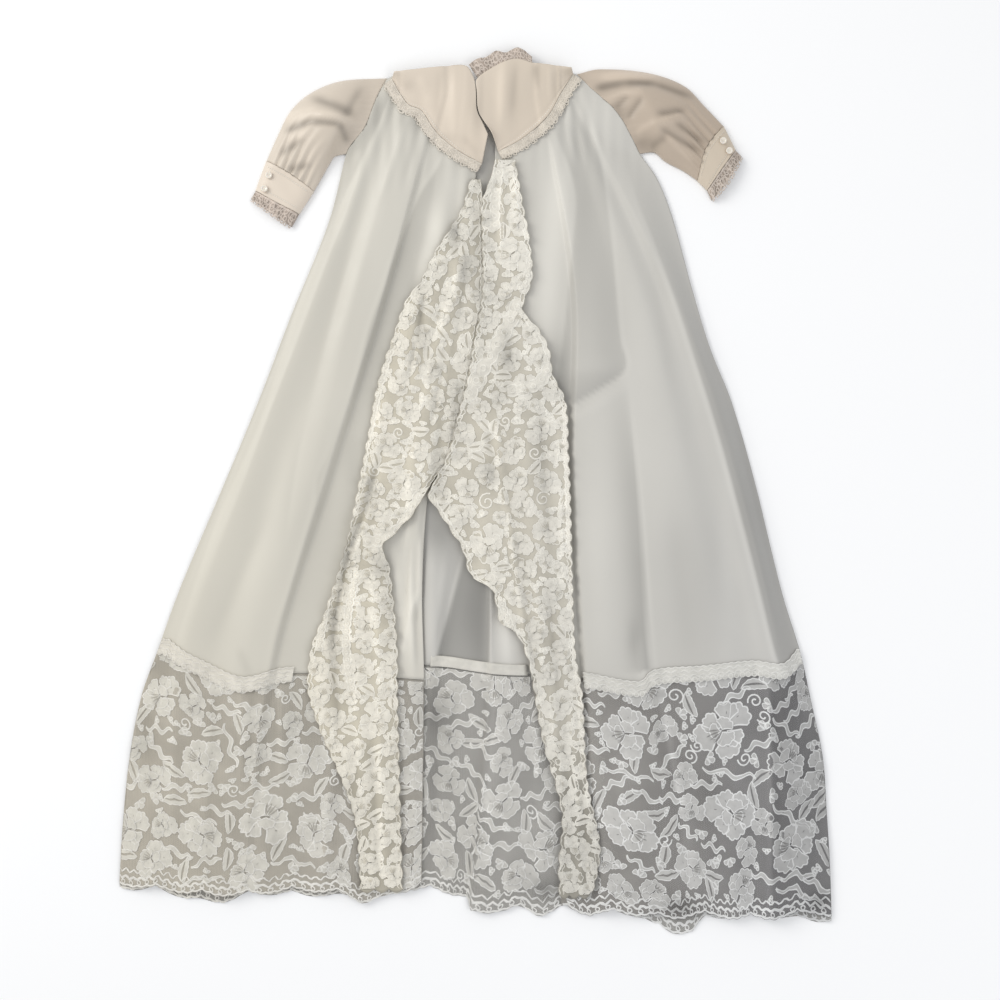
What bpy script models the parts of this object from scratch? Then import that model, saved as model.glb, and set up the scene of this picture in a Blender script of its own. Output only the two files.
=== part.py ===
"""A long christening gown that opens down the front, laid flat on its back.

The gown is cream satin with a band of floral net lace at the hem, a ruffle of the same lace down each
front edge, a two-piece collar, and short full sleeves gathered into buttoned cuffs. Sizes and tables are
in millimetres: X runs across the gown, Y runs from the hem to the neck, and Z is the height above the
surface that the gown lies on. The origin is at the centre of the gown's outline, on that surface.
Left and right are the viewer's.
"""

import math

import bmesh
import bpy

MM = 0.001

# Walls of cloth and the clearances between them
SATIN = 1.6
LACE = 1.2
CUFF_WALL = 2.0
SEAM_GAP = 0.4
RESTING_GAP = 0.4
SPAN = 5.0

# Heights of the main forms
ARMHOLE_RISE = 8.0
SLEEVE_HEIGHT = 22.0
SLEEVE_EDGE = 3.6
CUFF_HEIGHT = 9.6
CUFF_LACE_HEIGHT = 8.8
CUFF_LACE_LIFT = 0.7
COLLAR_ROLL = 8.0
NECK_LACE_DROP = 4.0

# Buttons on the cuffs
BUTTON_RADIUS = 3.5
BUTTON_THICKNESS = 2.2
BUTTON_RIM = 0.7
BUTTON_SIDES = 18

# Shoulder and underarm, the two ends of each armhole, along Y
LEFT_SHOULDER_Y = 414.0
RIGHT_SHOULDER_Y = 418.0
UNDERARM_Y = 339.0

# Side edges, from hem to shoulder: (Y, X)
LEFT_SIDE = (
    (-440, -359), (-394, -357), (-339, -354), (-269, -347), (-206, -335), (-161, -319), (-100, -297),
    (-17, -262), (91, -217), (175, -185), (269, -147), (339, -129), (346, -125), (362, -111),
    (377, -104), (396, -97), (414, -88),
)
RIGHT_SIDE = (
    (-440, 358), (-374, 356), (-322, 353), (-267, 349), (-205, 336), (-164, 327), (-102, 308),
    (12, 280), (88, 258), (143, 236), (202, 218), (275, 198), (313, 183), (339, 165), (359, 154),
    (380, 140), (401, 118), (418, 102),
)

# Front opening edges, from hem to neck: (Y, X)
LEFT_OPENING = (
    (-440, -54), (-190, -51), (-100, -53), (-10, -48), (90, -33), (200, -15), (290, -2), (352, 4),
)
RIGHT_OPENING = (
    (-440, 88), (-374, 85), (-322, 88), (-253, 70), (-199, 58), (-161, 54), (-95, 44), (-28, 34),
    (38, 22), (191, 22), (326, 20), (352, 20),
)

# Top edges of the panels, under the collar: (X, Y)
LEFT_TOP = ((-88, 414), (-60, 421), (-35, 423), (-20, 410), (-8, 385), (3, 352))
RIGHT_TOP = ((20, 352), (28, 385), (40, 410), (55, 424), (74, 423), (102, 418))
BACK_TOP = (
    (-88, 414), (-60, 421), (-35, 423), (-12, 414), (8, 408), (30, 414), (55, 424), (74, 423), (102, 418),
)

# Seams between the satin and the hem lace: (X, Y)
LEFT_HEM_SEAM = ((-316, -155), (-278, -174), (-230, -192), (-195, -184), (-169, -183), (-50, -189))
RIGHT_HEM_SEAM = (
    (58, -190), (108, -188), (163, -197), (177, -186), (225, -181), (280, -176), (308, -178), (327, -165),
)
BACK_HEM_SEAM = ((-316, -158), (-200, -172), (-39, -175), (14, -182), (55, -184), (200, -178), (327, -166))

# Lower edges of the hem lace: (X, Y)
LEFT_HEM = (
    (-357, -390), (-316, -394), (-287, -398), (-223, -399), (-185, -396), (-131, -399), (-112, -407),
    (-75, -398), (-53, -388),
)
RIGHT_HEM = (
    (88, -413), (115, -420), (126, -417), (170, -420), (195, -424), (225, -420), (280, -423),
    (336, -418), (358, -423),
)
BACK_HEM = (
    (-357, -394), (-316, -397), (-287, -405), (-255, -408), (-223, -400), (-130, -402), (-53, -395),
    (-19, -401), (-9, -405), (-3, -419), (40, -414), (65, -421), (88, -414), (170, -424), (181, -433),
    (198, -439), (218, -437), (228, -426), (300, -424), (358, -428),
)
SCALLOP_PITCH = 26.0
SCALLOP_DEPTH = 4.0

# Folds of the two fronts, from the side edge or the opening towards the other edge. Each row gives the X
# of one crest or valley at five places down the gown, and its height there above a flat lie at four.
FOLD_X_AT = (400, 200, 20, -175, -440)
FOLD_HEIGHT_AT = (350, 240, 20, -440)
LEFT_FOLDS = (
    ("side_roll", (-83, -157, -225, -293, -330), (4, 6, 8, 5)),
    ("side_valley", (-76, -138, -194, -262, -298), (2, 3, 4, 3)),
    ("middle_ridge", (-64, -117, -162, -229, -262), (4, 7, 9, 6)),
    ("pleat_crest", (-38, -92, -149, -206, -238), (4, 8, 8, 6)),
    ("pleat_foot", (-31, -85, -139, -197, -229), (2, 1, 1, 3)),
    ("strip_foot", (-24, -66, -115, -170, -182), (2, 1, 1, 2)),
    ("strip_ridge", (-14, -46, -92, -124, -126), (3, 5, 5, 4)),
    ("placket_valley", (-6, -30, -66, -74, -76), (2, 2, 1, 1)),
    ("placket_ridge", (-1, -22, -54, -62, -64), (2, 3, 4, 3)),
)
RIGHT_FOLDS = (
    ("strip_ridge", (38, 52, 55, 76, 100), (3, 4, 4, 3)),
    ("pleat_foot", (62, 94, 92, 104, 120), (2, 2, 2, 2)),
    ("pleat_crest", (68, 102, 101, 112, 129), (4, 8, 8, 6)),
    ("crease", (84, 139, 159, 172, 214), (2, 4, 4, 2)),
    ("middle_ridge", (89, 164, 205, 243, 258), (4, 8, 10, 7)),
    ("side_valley", (93, 182, 231, 273, 279), (3, 5, 6, 4)),
    ("side_crest", (97, 196, 257, 300, 301), (4, 10, 13, 9)),
)
OPENING_LIFT = 1.0

# Folds of the back where it shows between the fronts: X and height at four places down the gown
GAP_AT = (20, -60, -175, -440)
GAP_FOLDS = (
    ("left_foot", (-36, -54, -64, -70), (0, 0, 0, 0)),
    ("bright_ridge", (-10, -34, -46, -52), (0, 3, 4, 2)),
    ("ridge_foot", (6, -12, -33, -36), (0, 0, 0, 0)),
    ("step_foot", (10, 9, 11, -13), (0, 0, 0, 0)),
    ("step_crest", (16, 15, 17, -6), (0, 2, 4, 4)),
    ("right_foot", (44, 56, 76, 92), (0, 0, 0, 0)),
)

# Steps from each fold line to the next, across the panels and across the lace below them
LEFT_COLUMNS = (3, 2, 2, 2, 1, 2, 3, 1, 1, 1)
RIGHT_COLUMNS = (2, 2, 1, 2, 2, 2, 2, 3)
BACK_COLUMNS = (7, 2, 2, 1, 1, 2, 7)
BACK_LACE_COLUMNS = (21, 2, 4, 4, 2, 6, 21)
ARMHOLE_ROWS = 7
SKIRT_ROWS = 13
ARMHOLE_PART = 0.133
LACE_ROW_COUNT = 5

# The Y where the panels' tops, seams and hems are read from their (X, Y) rows
TOP_STATION = 400.0
SEAM_STATION = -175.0
HEM_STATION = -420.0

# The braid over the front hem seams and the tape over the back's; the ends count the fold lines
HEADING_ABOVE = 7.0
HEADING_BELOW = 7.0
HEADING_LOBE = 2.0
HEADING_GAP = 0.6
LEFT_HEADING_END = 5.6
RIGHT_HEADING_START = 2.4
TAPE_ABOVE = 1.0
TAPE_WIDTH = 11.0
TAPE_PLACES = (2.9, 3.0, 3.5, 4.0, 4.5, 5.0, 5.3, 5.6)

# Edges of the two lace ruffles on the front: (Y, X)
LEFT_RUFFLE_OUTER = (
    (-398, -114), (-320, -122), (-209, -165), (-159, -164), (-119, -149), (-59, -130), (-9, -119),
    (54, -107), (108, -97), (151, -83), (194, -67), (208, -55), (240, -39), (259, -26), (287, -11),
    (312, -4),
)
LEFT_RUFFLE_INNER = (
    (-398, -74), (-320, -76), (-200, -79), (-159, -79), (-109, -84), (-66, -96), (-54, -99), (-43, -82),
    (-24, -64), (-2, -49), (38, -25), (77, -14), (111, -5), (151, 2), (196, 10), (250, 10), (290, 8),
    (312, 6),
)
RIGHT_RUFFLE_INNER = (
    (-404, 86), (-374, 85), (-322, 88), (-253, 70), (-209, 62), (-174, 56), (-141, 42), (-133, 28),
    (-109, 22), (-95, 15), (-87, -1), (-58, -11), (-42, -21), (-22, -34), (-6, -46), (3, -42),
    (38, -21), (77, -11), (111, -2), (151, 5), (196, 13), (250, 13), (290, 12), (331, 20),
)
RIGHT_RUFFLE_OUTER = (
    (-404, 115), (-391, 120), (-356, 125), (-288, 112), (-205, 107), (-159, 100), (-84, 97), (-9, 95),
    (41, 93), (91, 90), (116, 78), (141, 74), (161, 64), (181, 48), (211, 57), (246, 55), (301, 45),
    (331, 40),
)
LEFT_RUFFLE_ENDS = (312, -398)
RIGHT_RUFFLE_ENDS = (331, -404)
RUFFLE_WAVE = 3.2
RUFFLE_GATHER = 0.8
LEFT_RUFFLE_WAVES = 17
RIGHT_RUFFLE_WAVES = 19

# Sleeves: outlines from armhole to cuff, and the seams and ends of the cuffs from the outer side: (X, Y)
LEFT_SLEEVE_OUTER = ((-135, 411), (-165, 399), (-185, 381), (-198, 356), (-209, 331))
LEFT_SLEEVE_INNER = ((-141, 336), (-146, 329), (-154, 315), (-162, 301))
LEFT_CUFF_SEAM = ((-209, 331), (-186, 318), (-162, 301))
LEFT_CUFF_END = ((-220, 301), (-199, 289), (-177, 278))
LEFT_LACE_END = ((-226, 291), (-206, 276), (-186, 262))
RIGHT_SLEEVE_OUTER = ((125, 423), (175, 419), (210, 406), (230, 386), (249, 366))
RIGHT_SLEEVE_INNER = ((180, 340), (191, 331), (210, 321), (223, 312))
RIGHT_CUFF_SEAM = ((249, 366), (231, 343), (223, 312))
RIGHT_CUFF_END = ((261, 342), (246, 321), (233, 302))
RIGHT_LACE_END = ((269, 334), (256, 309), (239, 289))
FULLEST_PART = 0.35
SLEEVE_INSET = 0.05
CUFF_GATHERS = 7
CUFF_GATHER_HEIGHT = 1.6
CUFF_EDGE = 4.6
CUFF_INSET = 0.06
CUFF_LACE_EDGE = 3.9
CUFF_LACE_WAVES = 6
CUFF_LACE_WAVE = 0.6

# Buttons: the place of each across and along its cuff
LEFT_BUTTONS = ((0.16, 0.38), (0.18, 0.82))
RIGHT_BUTTONS = ((0.16, 0.38), (0.16, 0.82))

# Collar wings from the shoulder to the front: outer edge and neck edge: (X, Y)
LEFT_COLLAR_OUTER = ((-83, 412), (-67, 387), (-54, 381), (-41, 362), (-28, 349), (-14, 339), (7, 328))
LEFT_COLLAR_NECK = (
    (-80, 417), (-32, 422), (-9, 423), (-4, 411), (-2, 398), (-4, 379), (5, 362), (12, 354),
)
RIGHT_COLLAR_OUTER = ((98, 417), (86, 398), (72, 374), (46, 352), (23, 340))
RIGHT_COLLAR_NECK = (
    (96, 421), (72, 424), (58, 426), (40, 430), (20, 423), (2, 410), (2, 397), (4, 377), (17, 358),
)
COLLAR_STEPS = 16
COLLAR_LACE_WIDTH = 10.0
COLLAR_LACE_LOBES = 8
NECK_LACE_INNER = ((57, 423), (40, 427), (21, 420), (5, 408))
NECK_LACE_OUTER = ((57, 434), (43, 443), (31, 438), (21, 440), (11, 434), (2, 432), (-6, 426))

# Colours: red, green and blue, then roughness
FINISHES = {
    "satin": ((0.80, 0.78, 0.72), 0.42),
    "satin_back": ((0.62, 0.61, 0.58), 0.5),
    "lace": ((0.82, 0.80, 0.73), 0.75),
    "trim": ((0.84, 0.78, 0.66), 0.7),
    "button": ((0.86, 0.82, 0.74), 0.3),
}


def smooth(rows, key):
    """Reads the curve through (key, value) rows, whose keys rise, and holds its ends."""
    if key <= rows[0][0]:
        return rows[0][1]
    if key >= rows[-1][0]:
        return rows[-1][1]
    i = next(n for n in range(len(rows) - 1) if key <= rows[n + 1][0])
    before, here, there, after = rows[max(i - 1, 0)], rows[i], rows[i + 1], rows[min(i + 2, len(rows) - 1)]
    span = there[0] - here[0]
    t = (key - here[0]) / span
    leave = (there[1] - before[1]) / (there[0] - before[0]) * span
    arrive = (after[1] - here[1]) / (after[0] - here[0]) * span
    rise = t * t * (3 - 2 * t)
    return (
        here[1] + (there[1] - here[1]) * rise + leave * (t - 2 * t * t + t**3) + arrive * (t**3 - t * t)
    )


def straight(places, values, key):
    """Reads values given at falling places, straight between them."""
    for i in range(len(places) - 1):
        if key >= places[i + 1]:
            t = min(max((places[i] - key) / (places[i] - places[i + 1]), 0), 1)
            return values[i] + (values[i + 1] - values[i]) * t
    return values[-1]


def ease(t):
    """Goes from 0 to 1 with level ends."""
    t = min(max(t, 0), 1)
    return t * t * (3 - 2 * t)


def along(points, t):
    """The point at the fraction t of a soft curve through points."""
    lengths = [0.0]
    for a, b in zip(points, points[1:]):
        lengths.append(lengths[-1] + math.dist(a, b))
    key = t * lengths[-1]
    return tuple(smooth(tuple(zip(lengths, [p[axis] for p in points])), key) for axis in (0, 1))


def outline(rows):
    """An edge as a line: its X at any Y."""
    return lambda y: smooth(rows, y)


def armhole_rise(shoulder_y):
    """The front's lift along the armhole, where it meets the rounded sleeve."""
    def height(y):
        t = (y - UNDERARM_Y) / (shoulder_y - UNDERARM_Y)
        return ARMHOLE_RISE * math.sin(math.pi * min(max(t, 0), 1))
    return height


def fold_lines(table, x_at, height_at):
    """One (X at Y, height at Y) pair of functions for each row of a fold table."""
    lines = []
    for _, xs, heights in table:
        rows = tuple(sorted(zip(x_at, xs)))
        lines.append((
            lambda y, rows=rows: smooth(rows, y),
            lambda y, heights=heights: straight(height_at, heights, y),
        ))
    return lines


def opening_lift(y):
    return OPENING_LIFT


def flat(y):
    return 0.0


LEFT_LINES = (
    [(outline(LEFT_SIDE), armhole_rise(LEFT_SHOULDER_Y))]
    + fold_lines(LEFT_FOLDS, FOLD_X_AT, FOLD_HEIGHT_AT)
    + [(outline(LEFT_OPENING), opening_lift)]
)
RIGHT_LINES = (
    [(outline(RIGHT_OPENING), opening_lift)]
    + fold_lines(RIGHT_FOLDS, FOLD_X_AT, FOLD_HEIGHT_AT)
    + [(outline(RIGHT_SIDE), armhole_rise(RIGHT_SHOULDER_Y))]
)
GAP_LINES = fold_lines(GAP_FOLDS, GAP_AT, GAP_AT)
BACK_LINES = [(outline(LEFT_SIDE), flat)] + GAP_LINES + [(outline(RIGHT_SIDE), flat)]


def x_across(lines, s, y):
    """The X at Y = y of the place s, which counts the lines from the first."""
    i = min(int(s), len(lines) - 2)
    a, b = lines[i][0](y), lines[i + 1][0](y)
    return a + (b - a) * (s - i)


def height_across(lines, x, y):
    """The height of folds at (x, y), soft between one line and the next."""
    if x <= lines[0][0](y):
        return lines[0][1](y)
    for (xa, za), (xb, zb) in zip(lines, lines[1:]):
        b = xb(y)
        if x <= b:
            a = xa(y)
            return za(y) + (zb(y) - za(y)) * ease((x - a) / (b - a))
    return lines[-1][1](y)


def back_height(x, y):
    """How far the back panel is lifted off the surface."""
    return height_across(BACK_LINES, x, y)


def front_height(x, y):
    """How far the fronts are lifted off the back; between them it is the lift of the nearer edge."""
    left_edge, right_edge = LEFT_LINES[-1][0](y), RIGHT_LINES[0][0](y)
    lines = LEFT_LINES if x < (left_edge + right_edge) / 2 else RIGHT_LINES
    return height_across(lines, x, y)


def front_under(x, y):
    return SATIN + RESTING_GAP + back_height(x, y) + front_height(x, y)


def front_lace_under(x, y):
    return LACE + RESTING_GAP + back_height(x, y) + front_height(x, y)


def over_fronts(x, y):
    """The lowest lie for a stiff piece on the fronts: it spans the hollows nearer together than SPAN."""
    around = (-SPAN, 0, SPAN)
    return RESTING_GAP + SATIN + max(front_under(x + dx, y + dy) for dx in around for dy in around)


def fan(lines, top, foot):
    """Lays a panel out between its fold lines: place(s, t) runs across with s and down with t.

    top and foot give the Y of the panel's two ends for the X that a place has at the first and last
    station of the fold tables.
    """
    def place(s, t):
        y0 = top(s)
        y1 = foot(s)
        y = y0 + (y1 - y0) * t
        return x_across(lines, s, y), y
    return place


def edge_by_x(rows, lines, station):
    """An end of a panel that is given as (X, Y) rows, read where each place crosses the station."""
    return lambda s: smooth(rows, x_across(lines, s, station))


def chord(value, places, s):
    """Reads value(s) straight between the two places on each side of s, as a panel's columns do."""
    i = next((n for n in range(len(places) - 2) if s <= places[n + 1]), len(places) - 2)
    first, last = places[i], places[i + 1]
    a, b = value(first), value(last)
    return a + (b - a) * (s - first) / (last - first)


def chorded(edge, places):
    """The end of the piece that is sewn below a panel's end, clear of its chords by the seam's gap."""
    return lambda s: chord(edge, places, s) - SEAM_GAP


def scalloped(edge, lines, station):
    """The same end with a row of rounded scallops hanging from it."""
    def y_at(s):
        x = x_across(lines, s, station)
        return edge(s) - SCALLOP_DEPTH * abs(math.sin(math.pi * x / SCALLOP_PITCH))
    return y_at


def strip(first, second):
    """Lays a piece out between two edges given as curves: s runs along them and t across."""
    def place(s, t):
        a, b = along(first, s), along(second, s)
        return a[0] + (b[0] - a[0]) * t, a[1] + (b[1] - a[1]) * t
    return place


def steps(count, start=0.0, end=1.0):
    return [start + (end - start) * n / count for n in range(count + 1)]


def columns(counts, first=0):
    """Places across a panel: so many steps from each fold line to the next."""
    places = [float(first)]
    for i, count in enumerate(counts):
        places += [first + i + (n + 1) / count for n in range(count)]
    return places


def finish_of(name):
    """The material of a finish, made once."""
    material = bpy.data.materials.get(name)
    if material:
        return material
    colour, roughness = FINISHES[name]
    material = bpy.data.materials.new(name)
    material.use_nodes = True
    shader = material.node_tree.nodes["Principled BSDF"]
    shader.inputs["Base Color"].default_value = (*colour, 1)
    shader.inputs["Roughness"].default_value = roughness
    shader.inputs["Metallic"].default_value = 0
    return material


def add_object(name, points, faces, finish):
    """Makes an object from points in millimetres, with its faces turned outwards."""
    mesh = bpy.data.meshes.new(name)
    mesh.from_pydata([(x * MM, y * MM, z * MM) for x, y, z in points], [], faces)
    work = bmesh.new()
    work.from_mesh(mesh)
    if work.calc_volume(signed=True) < 0:
        bmesh.ops.reverse_faces(work, faces=work.faces)
    work.to_mesh(mesh)
    work.free()
    mesh.shade_smooth()
    mesh.materials.append(finish_of(finish))
    made = bpy.data.objects.new(name, mesh)
    bpy.context.scene.collection.objects.link(made)
    return made


def grid_faces(point, across, down):
    """Two triangles for each cell of a grid whose corners point(i, j) numbers."""
    faces = []
    for j in range(down):
        for i in range(across):
            a, b, c, d = point(i, j), point(i + 1, j), point(i + 1, j + 1), point(i, j + 1)
            faces += [(a, b, c), (a, c, d)]
    return faces


def cloth(name, place, under, wall, across, down, finish):
    """A closed wall of cloth: its underside is at the height under(x, y, s, t)."""
    sheet = []
    for t in down:
        for s in across:
            x, y = place(s, t)
            sheet.append((x, y, under(x, y, s, t)))
    points = sheet + [(x, y, z + wall) for x, y, z in sheet]
    width, length = len(across) - 1, len(down) - 1

    def below(i, j):
        return j * len(across) + i

    def above(i, j):
        return len(sheet) + below(i, j)

    faces = grid_faces(above, width, length)
    faces += [tuple(reversed(face)) for face in grid_faces(below, width, length)]
    rim = [(i, 0) for i in range(width)] + [(width, j) for j in range(length)]
    rim += [(i, length) for i in range(width, 0, -1)] + [(0, j) for j in range(length, 0, -1)]
    for a, b in zip(rim, rim[1:] + rim[:1]):
        faces += [(above(*a), below(*a), below(*b)), (above(*a), below(*b), above(*b))]
    return add_object(name, points, faces, finish)


def tube(name, place, top, floor, wall, inset, across, down, finish):
    """A flattened tube of cloth, open at both ends: top(s, t) is the height of its upper side.

    inset is the part of the width by which the inner side stays clear of each outer edge.
    """
    rings = []
    for inner in (False, True):
        for t in down:
            side = inset if inner else 0.0
            near = [side + (1 - 2 * side) * s for s in across]
            upper = [(s, top(s, t) - (wall if inner else 0.0)) for s in near]
            lower = [(s, floor + (wall if inner else 0.0)) for s in reversed(near)]
            rings.append([(*place(s, t), z) for s, z in upper + lower])
    points = [point for ring in rings for point in ring]
    around, rows = len(rings[0]), len(down)

    def outer(i, j):
        return j * around + i % around

    def inner(i, j):
        return rows * around + outer(i, j)

    faces = grid_faces(outer, around, rows - 1)
    faces += [tuple(reversed(face)) for face in grid_faces(inner, around, rows - 1)]
    for j, turn in ((0, 1), (rows - 1, -1)):
        for i in range(around):
            ring = (outer(i, j), inner(i, j), inner(i + 1, j), outer(i + 1, j))
            faces += [ring[:3][::turn], (ring[0], ring[2], ring[3])[::turn]]
    return add_object(name, points, faces, finish)


def finer(counts, times):
    return tuple(count * times for count in counts)


def body_panel(name, lines, top_rows, seam_rows, counts, under, finish):
    """A satin panel from the shoulder to the hem seam."""
    place = fan(lines, edge_by_x(top_rows, lines, TOP_STATION), edge_by_x(seam_rows, lines, SEAM_STATION))
    rows = steps(ARMHOLE_ROWS, 0.0, ARMHOLE_PART) + steps(SKIRT_ROWS, ARMHOLE_PART, 1.0)[1:]
    return cloth(name, place, under, SATIN, columns(counts), rows, finish)


def hem_lace(name, lines, seam_rows, hem_rows, panel_counts, counts, under):
    """The lace below a panel, from its seam to a scalloped lower edge."""
    seam = chorded(edge_by_x(seam_rows, lines, SEAM_STATION), columns(panel_counts))
    foot = scalloped(edge_by_x(hem_rows, lines, HEM_STATION), lines, HEM_STATION)
    rows = steps(LACE_ROW_COUNT)
    return cloth(name, fan(lines, seam, foot), under, LACE, columns(counts), rows, "lace")


def make_body():
    def on_surface(x, y, s, t):
        return back_height(x, y)

    def on_back(x, y, s, t):
        return front_under(x, y)

    def on_back_lace(x, y, s, t):
        return front_lace_under(x, y)

    body_panel("back_panel", BACK_LINES, BACK_TOP, BACK_HEM_SEAM, BACK_COLUMNS, on_surface, "satin_back")
    body_panel("front_left", LEFT_LINES, LEFT_TOP, LEFT_HEM_SEAM, LEFT_COLUMNS, on_back, "satin")
    body_panel("front_right", RIGHT_LINES, RIGHT_TOP, RIGHT_HEM_SEAM, RIGHT_COLUMNS, on_back, "satin")
    hem_lace(
        "hem_lace_back", BACK_LINES, BACK_HEM_SEAM, BACK_HEM, BACK_COLUMNS, BACK_LACE_COLUMNS, on_surface
    )
    hem_lace(
        "hem_lace_left", LEFT_LINES, LEFT_HEM_SEAM, LEFT_HEM, LEFT_COLUMNS, finer(LEFT_COLUMNS, 2),
        on_back_lace,
    )
    hem_lace(
        "hem_lace_right", RIGHT_LINES, RIGHT_HEM_SEAM, RIGHT_HEM, RIGHT_COLUMNS, finer(RIGHT_COLUMNS, 2),
        on_back_lace,
    )


def make_hem_trims():
    """The scalloped braid over each front's hem seam, and the tape over the back's."""
    def heading(name, lines, seam_rows, counts, wanted):
        seam = edge_by_x(seam_rows, lines, SEAM_STATION)
        panel_places = columns(counts)

        def place(s, t):
            lobe = HEADING_LOBE * abs(math.sin(math.pi * s * 3))
            y = seam(s) + HEADING_ABOVE - (HEADING_ABOVE + HEADING_BELOW + lobe) * t
            return x_across(lines, s, y), y

        def under(x, y, s, t):
            """Rests on the panel's own chords from column to column."""
            panel = chord(lambda at: front_under(x_across(lines, at, y), y), panel_places, s)
            return panel + SATIN + HEADING_GAP

        across = [s for s in columns(finer(counts, 2)) if wanted(s)]
        cloth(name, place, under, LACE, across, (0, 0.5, 1), "trim")

    heading(
        "hem_heading_left", LEFT_LINES, LEFT_HEM_SEAM, LEFT_COLUMNS, lambda s: s < LEFT_HEADING_END
    )
    heading(
        "hem_heading_right", RIGHT_LINES, RIGHT_HEM_SEAM, RIGHT_COLUMNS, lambda s: s > RIGHT_HEADING_START
    )

    back_seam = edge_by_x(BACK_HEM_SEAM, BACK_LINES, SEAM_STATION)

    def tape_place(s, t):
        y = back_seam(s) + TAPE_WIDTH - TAPE_ABOVE - TAPE_WIDTH * t
        return x_across(BACK_LINES, s, y), y

    def tape_under(x, y, s, t):
        return back_height(x, y) + SATIN + RESTING_GAP

    cloth("hem_tape_back", tape_place, tape_under, LACE, TAPE_PLACES, (0, 1), "trim")


def make_ruffles():
    """The lace ruffle on each front edge, gathered along its middle, which spills across the opening."""
    def ruffle(name, outer, inner, ends, waves):
        def place(s, t):
            y = ends[0] + (ends[1] - ends[0]) * t
            a, b = smooth(outer, y), smooth(inner, y)
            return a + (b - a) * s, y

        def under(x, y, s, t):
            free = abs(2 * s - 1)
            wave = 0.5 + 0.5 * math.sin(2 * math.pi * waves * t + 2.2 * s)
            return over_fronts(x, y) + RUFFLE_WAVE * wave * free + RUFFLE_GATHER * (1 - free)

        cloth(name, place, under, LACE, steps(6), steps(52), "lace")

    ruffle("ruffle_left", LEFT_RUFFLE_OUTER, LEFT_RUFFLE_INNER, LEFT_RUFFLE_ENDS, LEFT_RUFFLE_WAVES)
    ruffle("ruffle_right", RIGHT_RUFFLE_INNER, RIGHT_RUFFLE_OUTER, RIGHT_RUFFLE_ENDS, RIGHT_RUFFLE_WAVES)


def make_sleeve(side, body_side, shoulder_y, outer, inner, seam, cuff_end, lace_end, buttons):
    """A full sleeve, its cuff with two buttons, and the lace round the cuff's end."""
    outward = -1 if side == "left" else 1

    def armhole(s):
        y = shoulder_y + (UNDERARM_Y - shoulder_y) * s
        return smooth(body_side, y) + outward * 1.5 * SEAM_GAP, y

    outer_edge = (armhole(0), *outer)
    inner_edge = (armhole(1), *inner)

    def place(s, t):
        a, b, c, d = along(outer_edge, t), along(inner_edge, t), armhole(s), along(seam, s)
        corners = (armhole(0), armhole(1), seam[0], seam[-1])
        return tuple(
            (1 - s) * a[k] + s * b[k] + (1 - t) * c[k] + t * d[k]
            - (1 - t) * ((1 - s) * corners[0][k] + s * corners[1][k])
            - t * ((1 - s) * corners[2][k] + s * corners[3][k])
            for k in (0, 1)
        )

    def top(s, t):
        arch = math.sin(math.pi * s)
        start = SATIN + RESTING_GAP + ARMHOLE_RISE * arch + SATIN
        full = SLEEVE_EDGE + (SLEEVE_HEIGHT - SLEEVE_EDGE) * arch**0.7
        end = SLEEVE_EDGE + (CUFF_HEIGHT + 1 - SLEEVE_EDGE) * arch**0.5
        end += CUFF_GATHER_HEIGHT * arch * math.cos(2 * math.pi * CUFF_GATHERS * s)
        if t < FULLEST_PART:
            return start + (full - start) * ease(t / FULLEST_PART)
        return full + (end - full) * ease((t - FULLEST_PART) / (1 - FULLEST_PART))

    tube("sleeve_" + side, place, top, 0.0, SATIN, SLEEVE_INSET, steps(14), steps(9), "satin")

    def from_seam(first, second, gap):
        """Lays a ring out between two lines across the arm, clear of the first by gap."""
        def laid(s, t):
            a, b = along(first, s), along(second, s)
            clear = gap / math.dist(a, b)
            part = clear + (1 - clear) * t
            return a[0] + (b[0] - a[0]) * part, a[1] + (b[1] - a[1]) * part
        return laid

    cuff_place = from_seam(seam, cuff_end, 1.5 * SEAM_GAP)

    def cuff_top(s, t):
        return CUFF_EDGE + (CUFF_HEIGHT - CUFF_EDGE) * (1 - abs(2 * s - 1) ** 5)

    tube("cuff_" + side, cuff_place, cuff_top, 0.0, CUFF_WALL, CUFF_INSET, steps(8), steps(2), "satin")

    lace_place = from_seam(cuff_end, lace_end, 1.5 * SEAM_GAP)

    def lace_top(s, t):
        ripple = CUFF_LACE_WAVE * t * math.cos(2 * math.pi * CUFF_LACE_WAVES * s) * math.sin(math.pi * s)
        return CUFF_LACE_EDGE + (CUFF_LACE_HEIGHT - CUFF_LACE_EDGE) * (1 - abs(2 * s - 1) ** 4) + ripple

    tube(
        "cuff_lace_" + side, lace_place, lace_top, CUFF_LACE_LIFT, LACE, CUFF_INSET, steps(18), steps(2),
        "trim",
    )

    for number, (s, t) in enumerate(buttons, 1):
        x, y = cuff_place(s, t)
        reach = BUTTON_RADIUS / math.dist(cuff_place(0, t), cuff_place(1, t))
        base = max(cuff_top(s - reach, t), cuff_top(s + reach, t)) + RESTING_GAP
        make_button(f"button_{side}_{number}", x, y, base)


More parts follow.
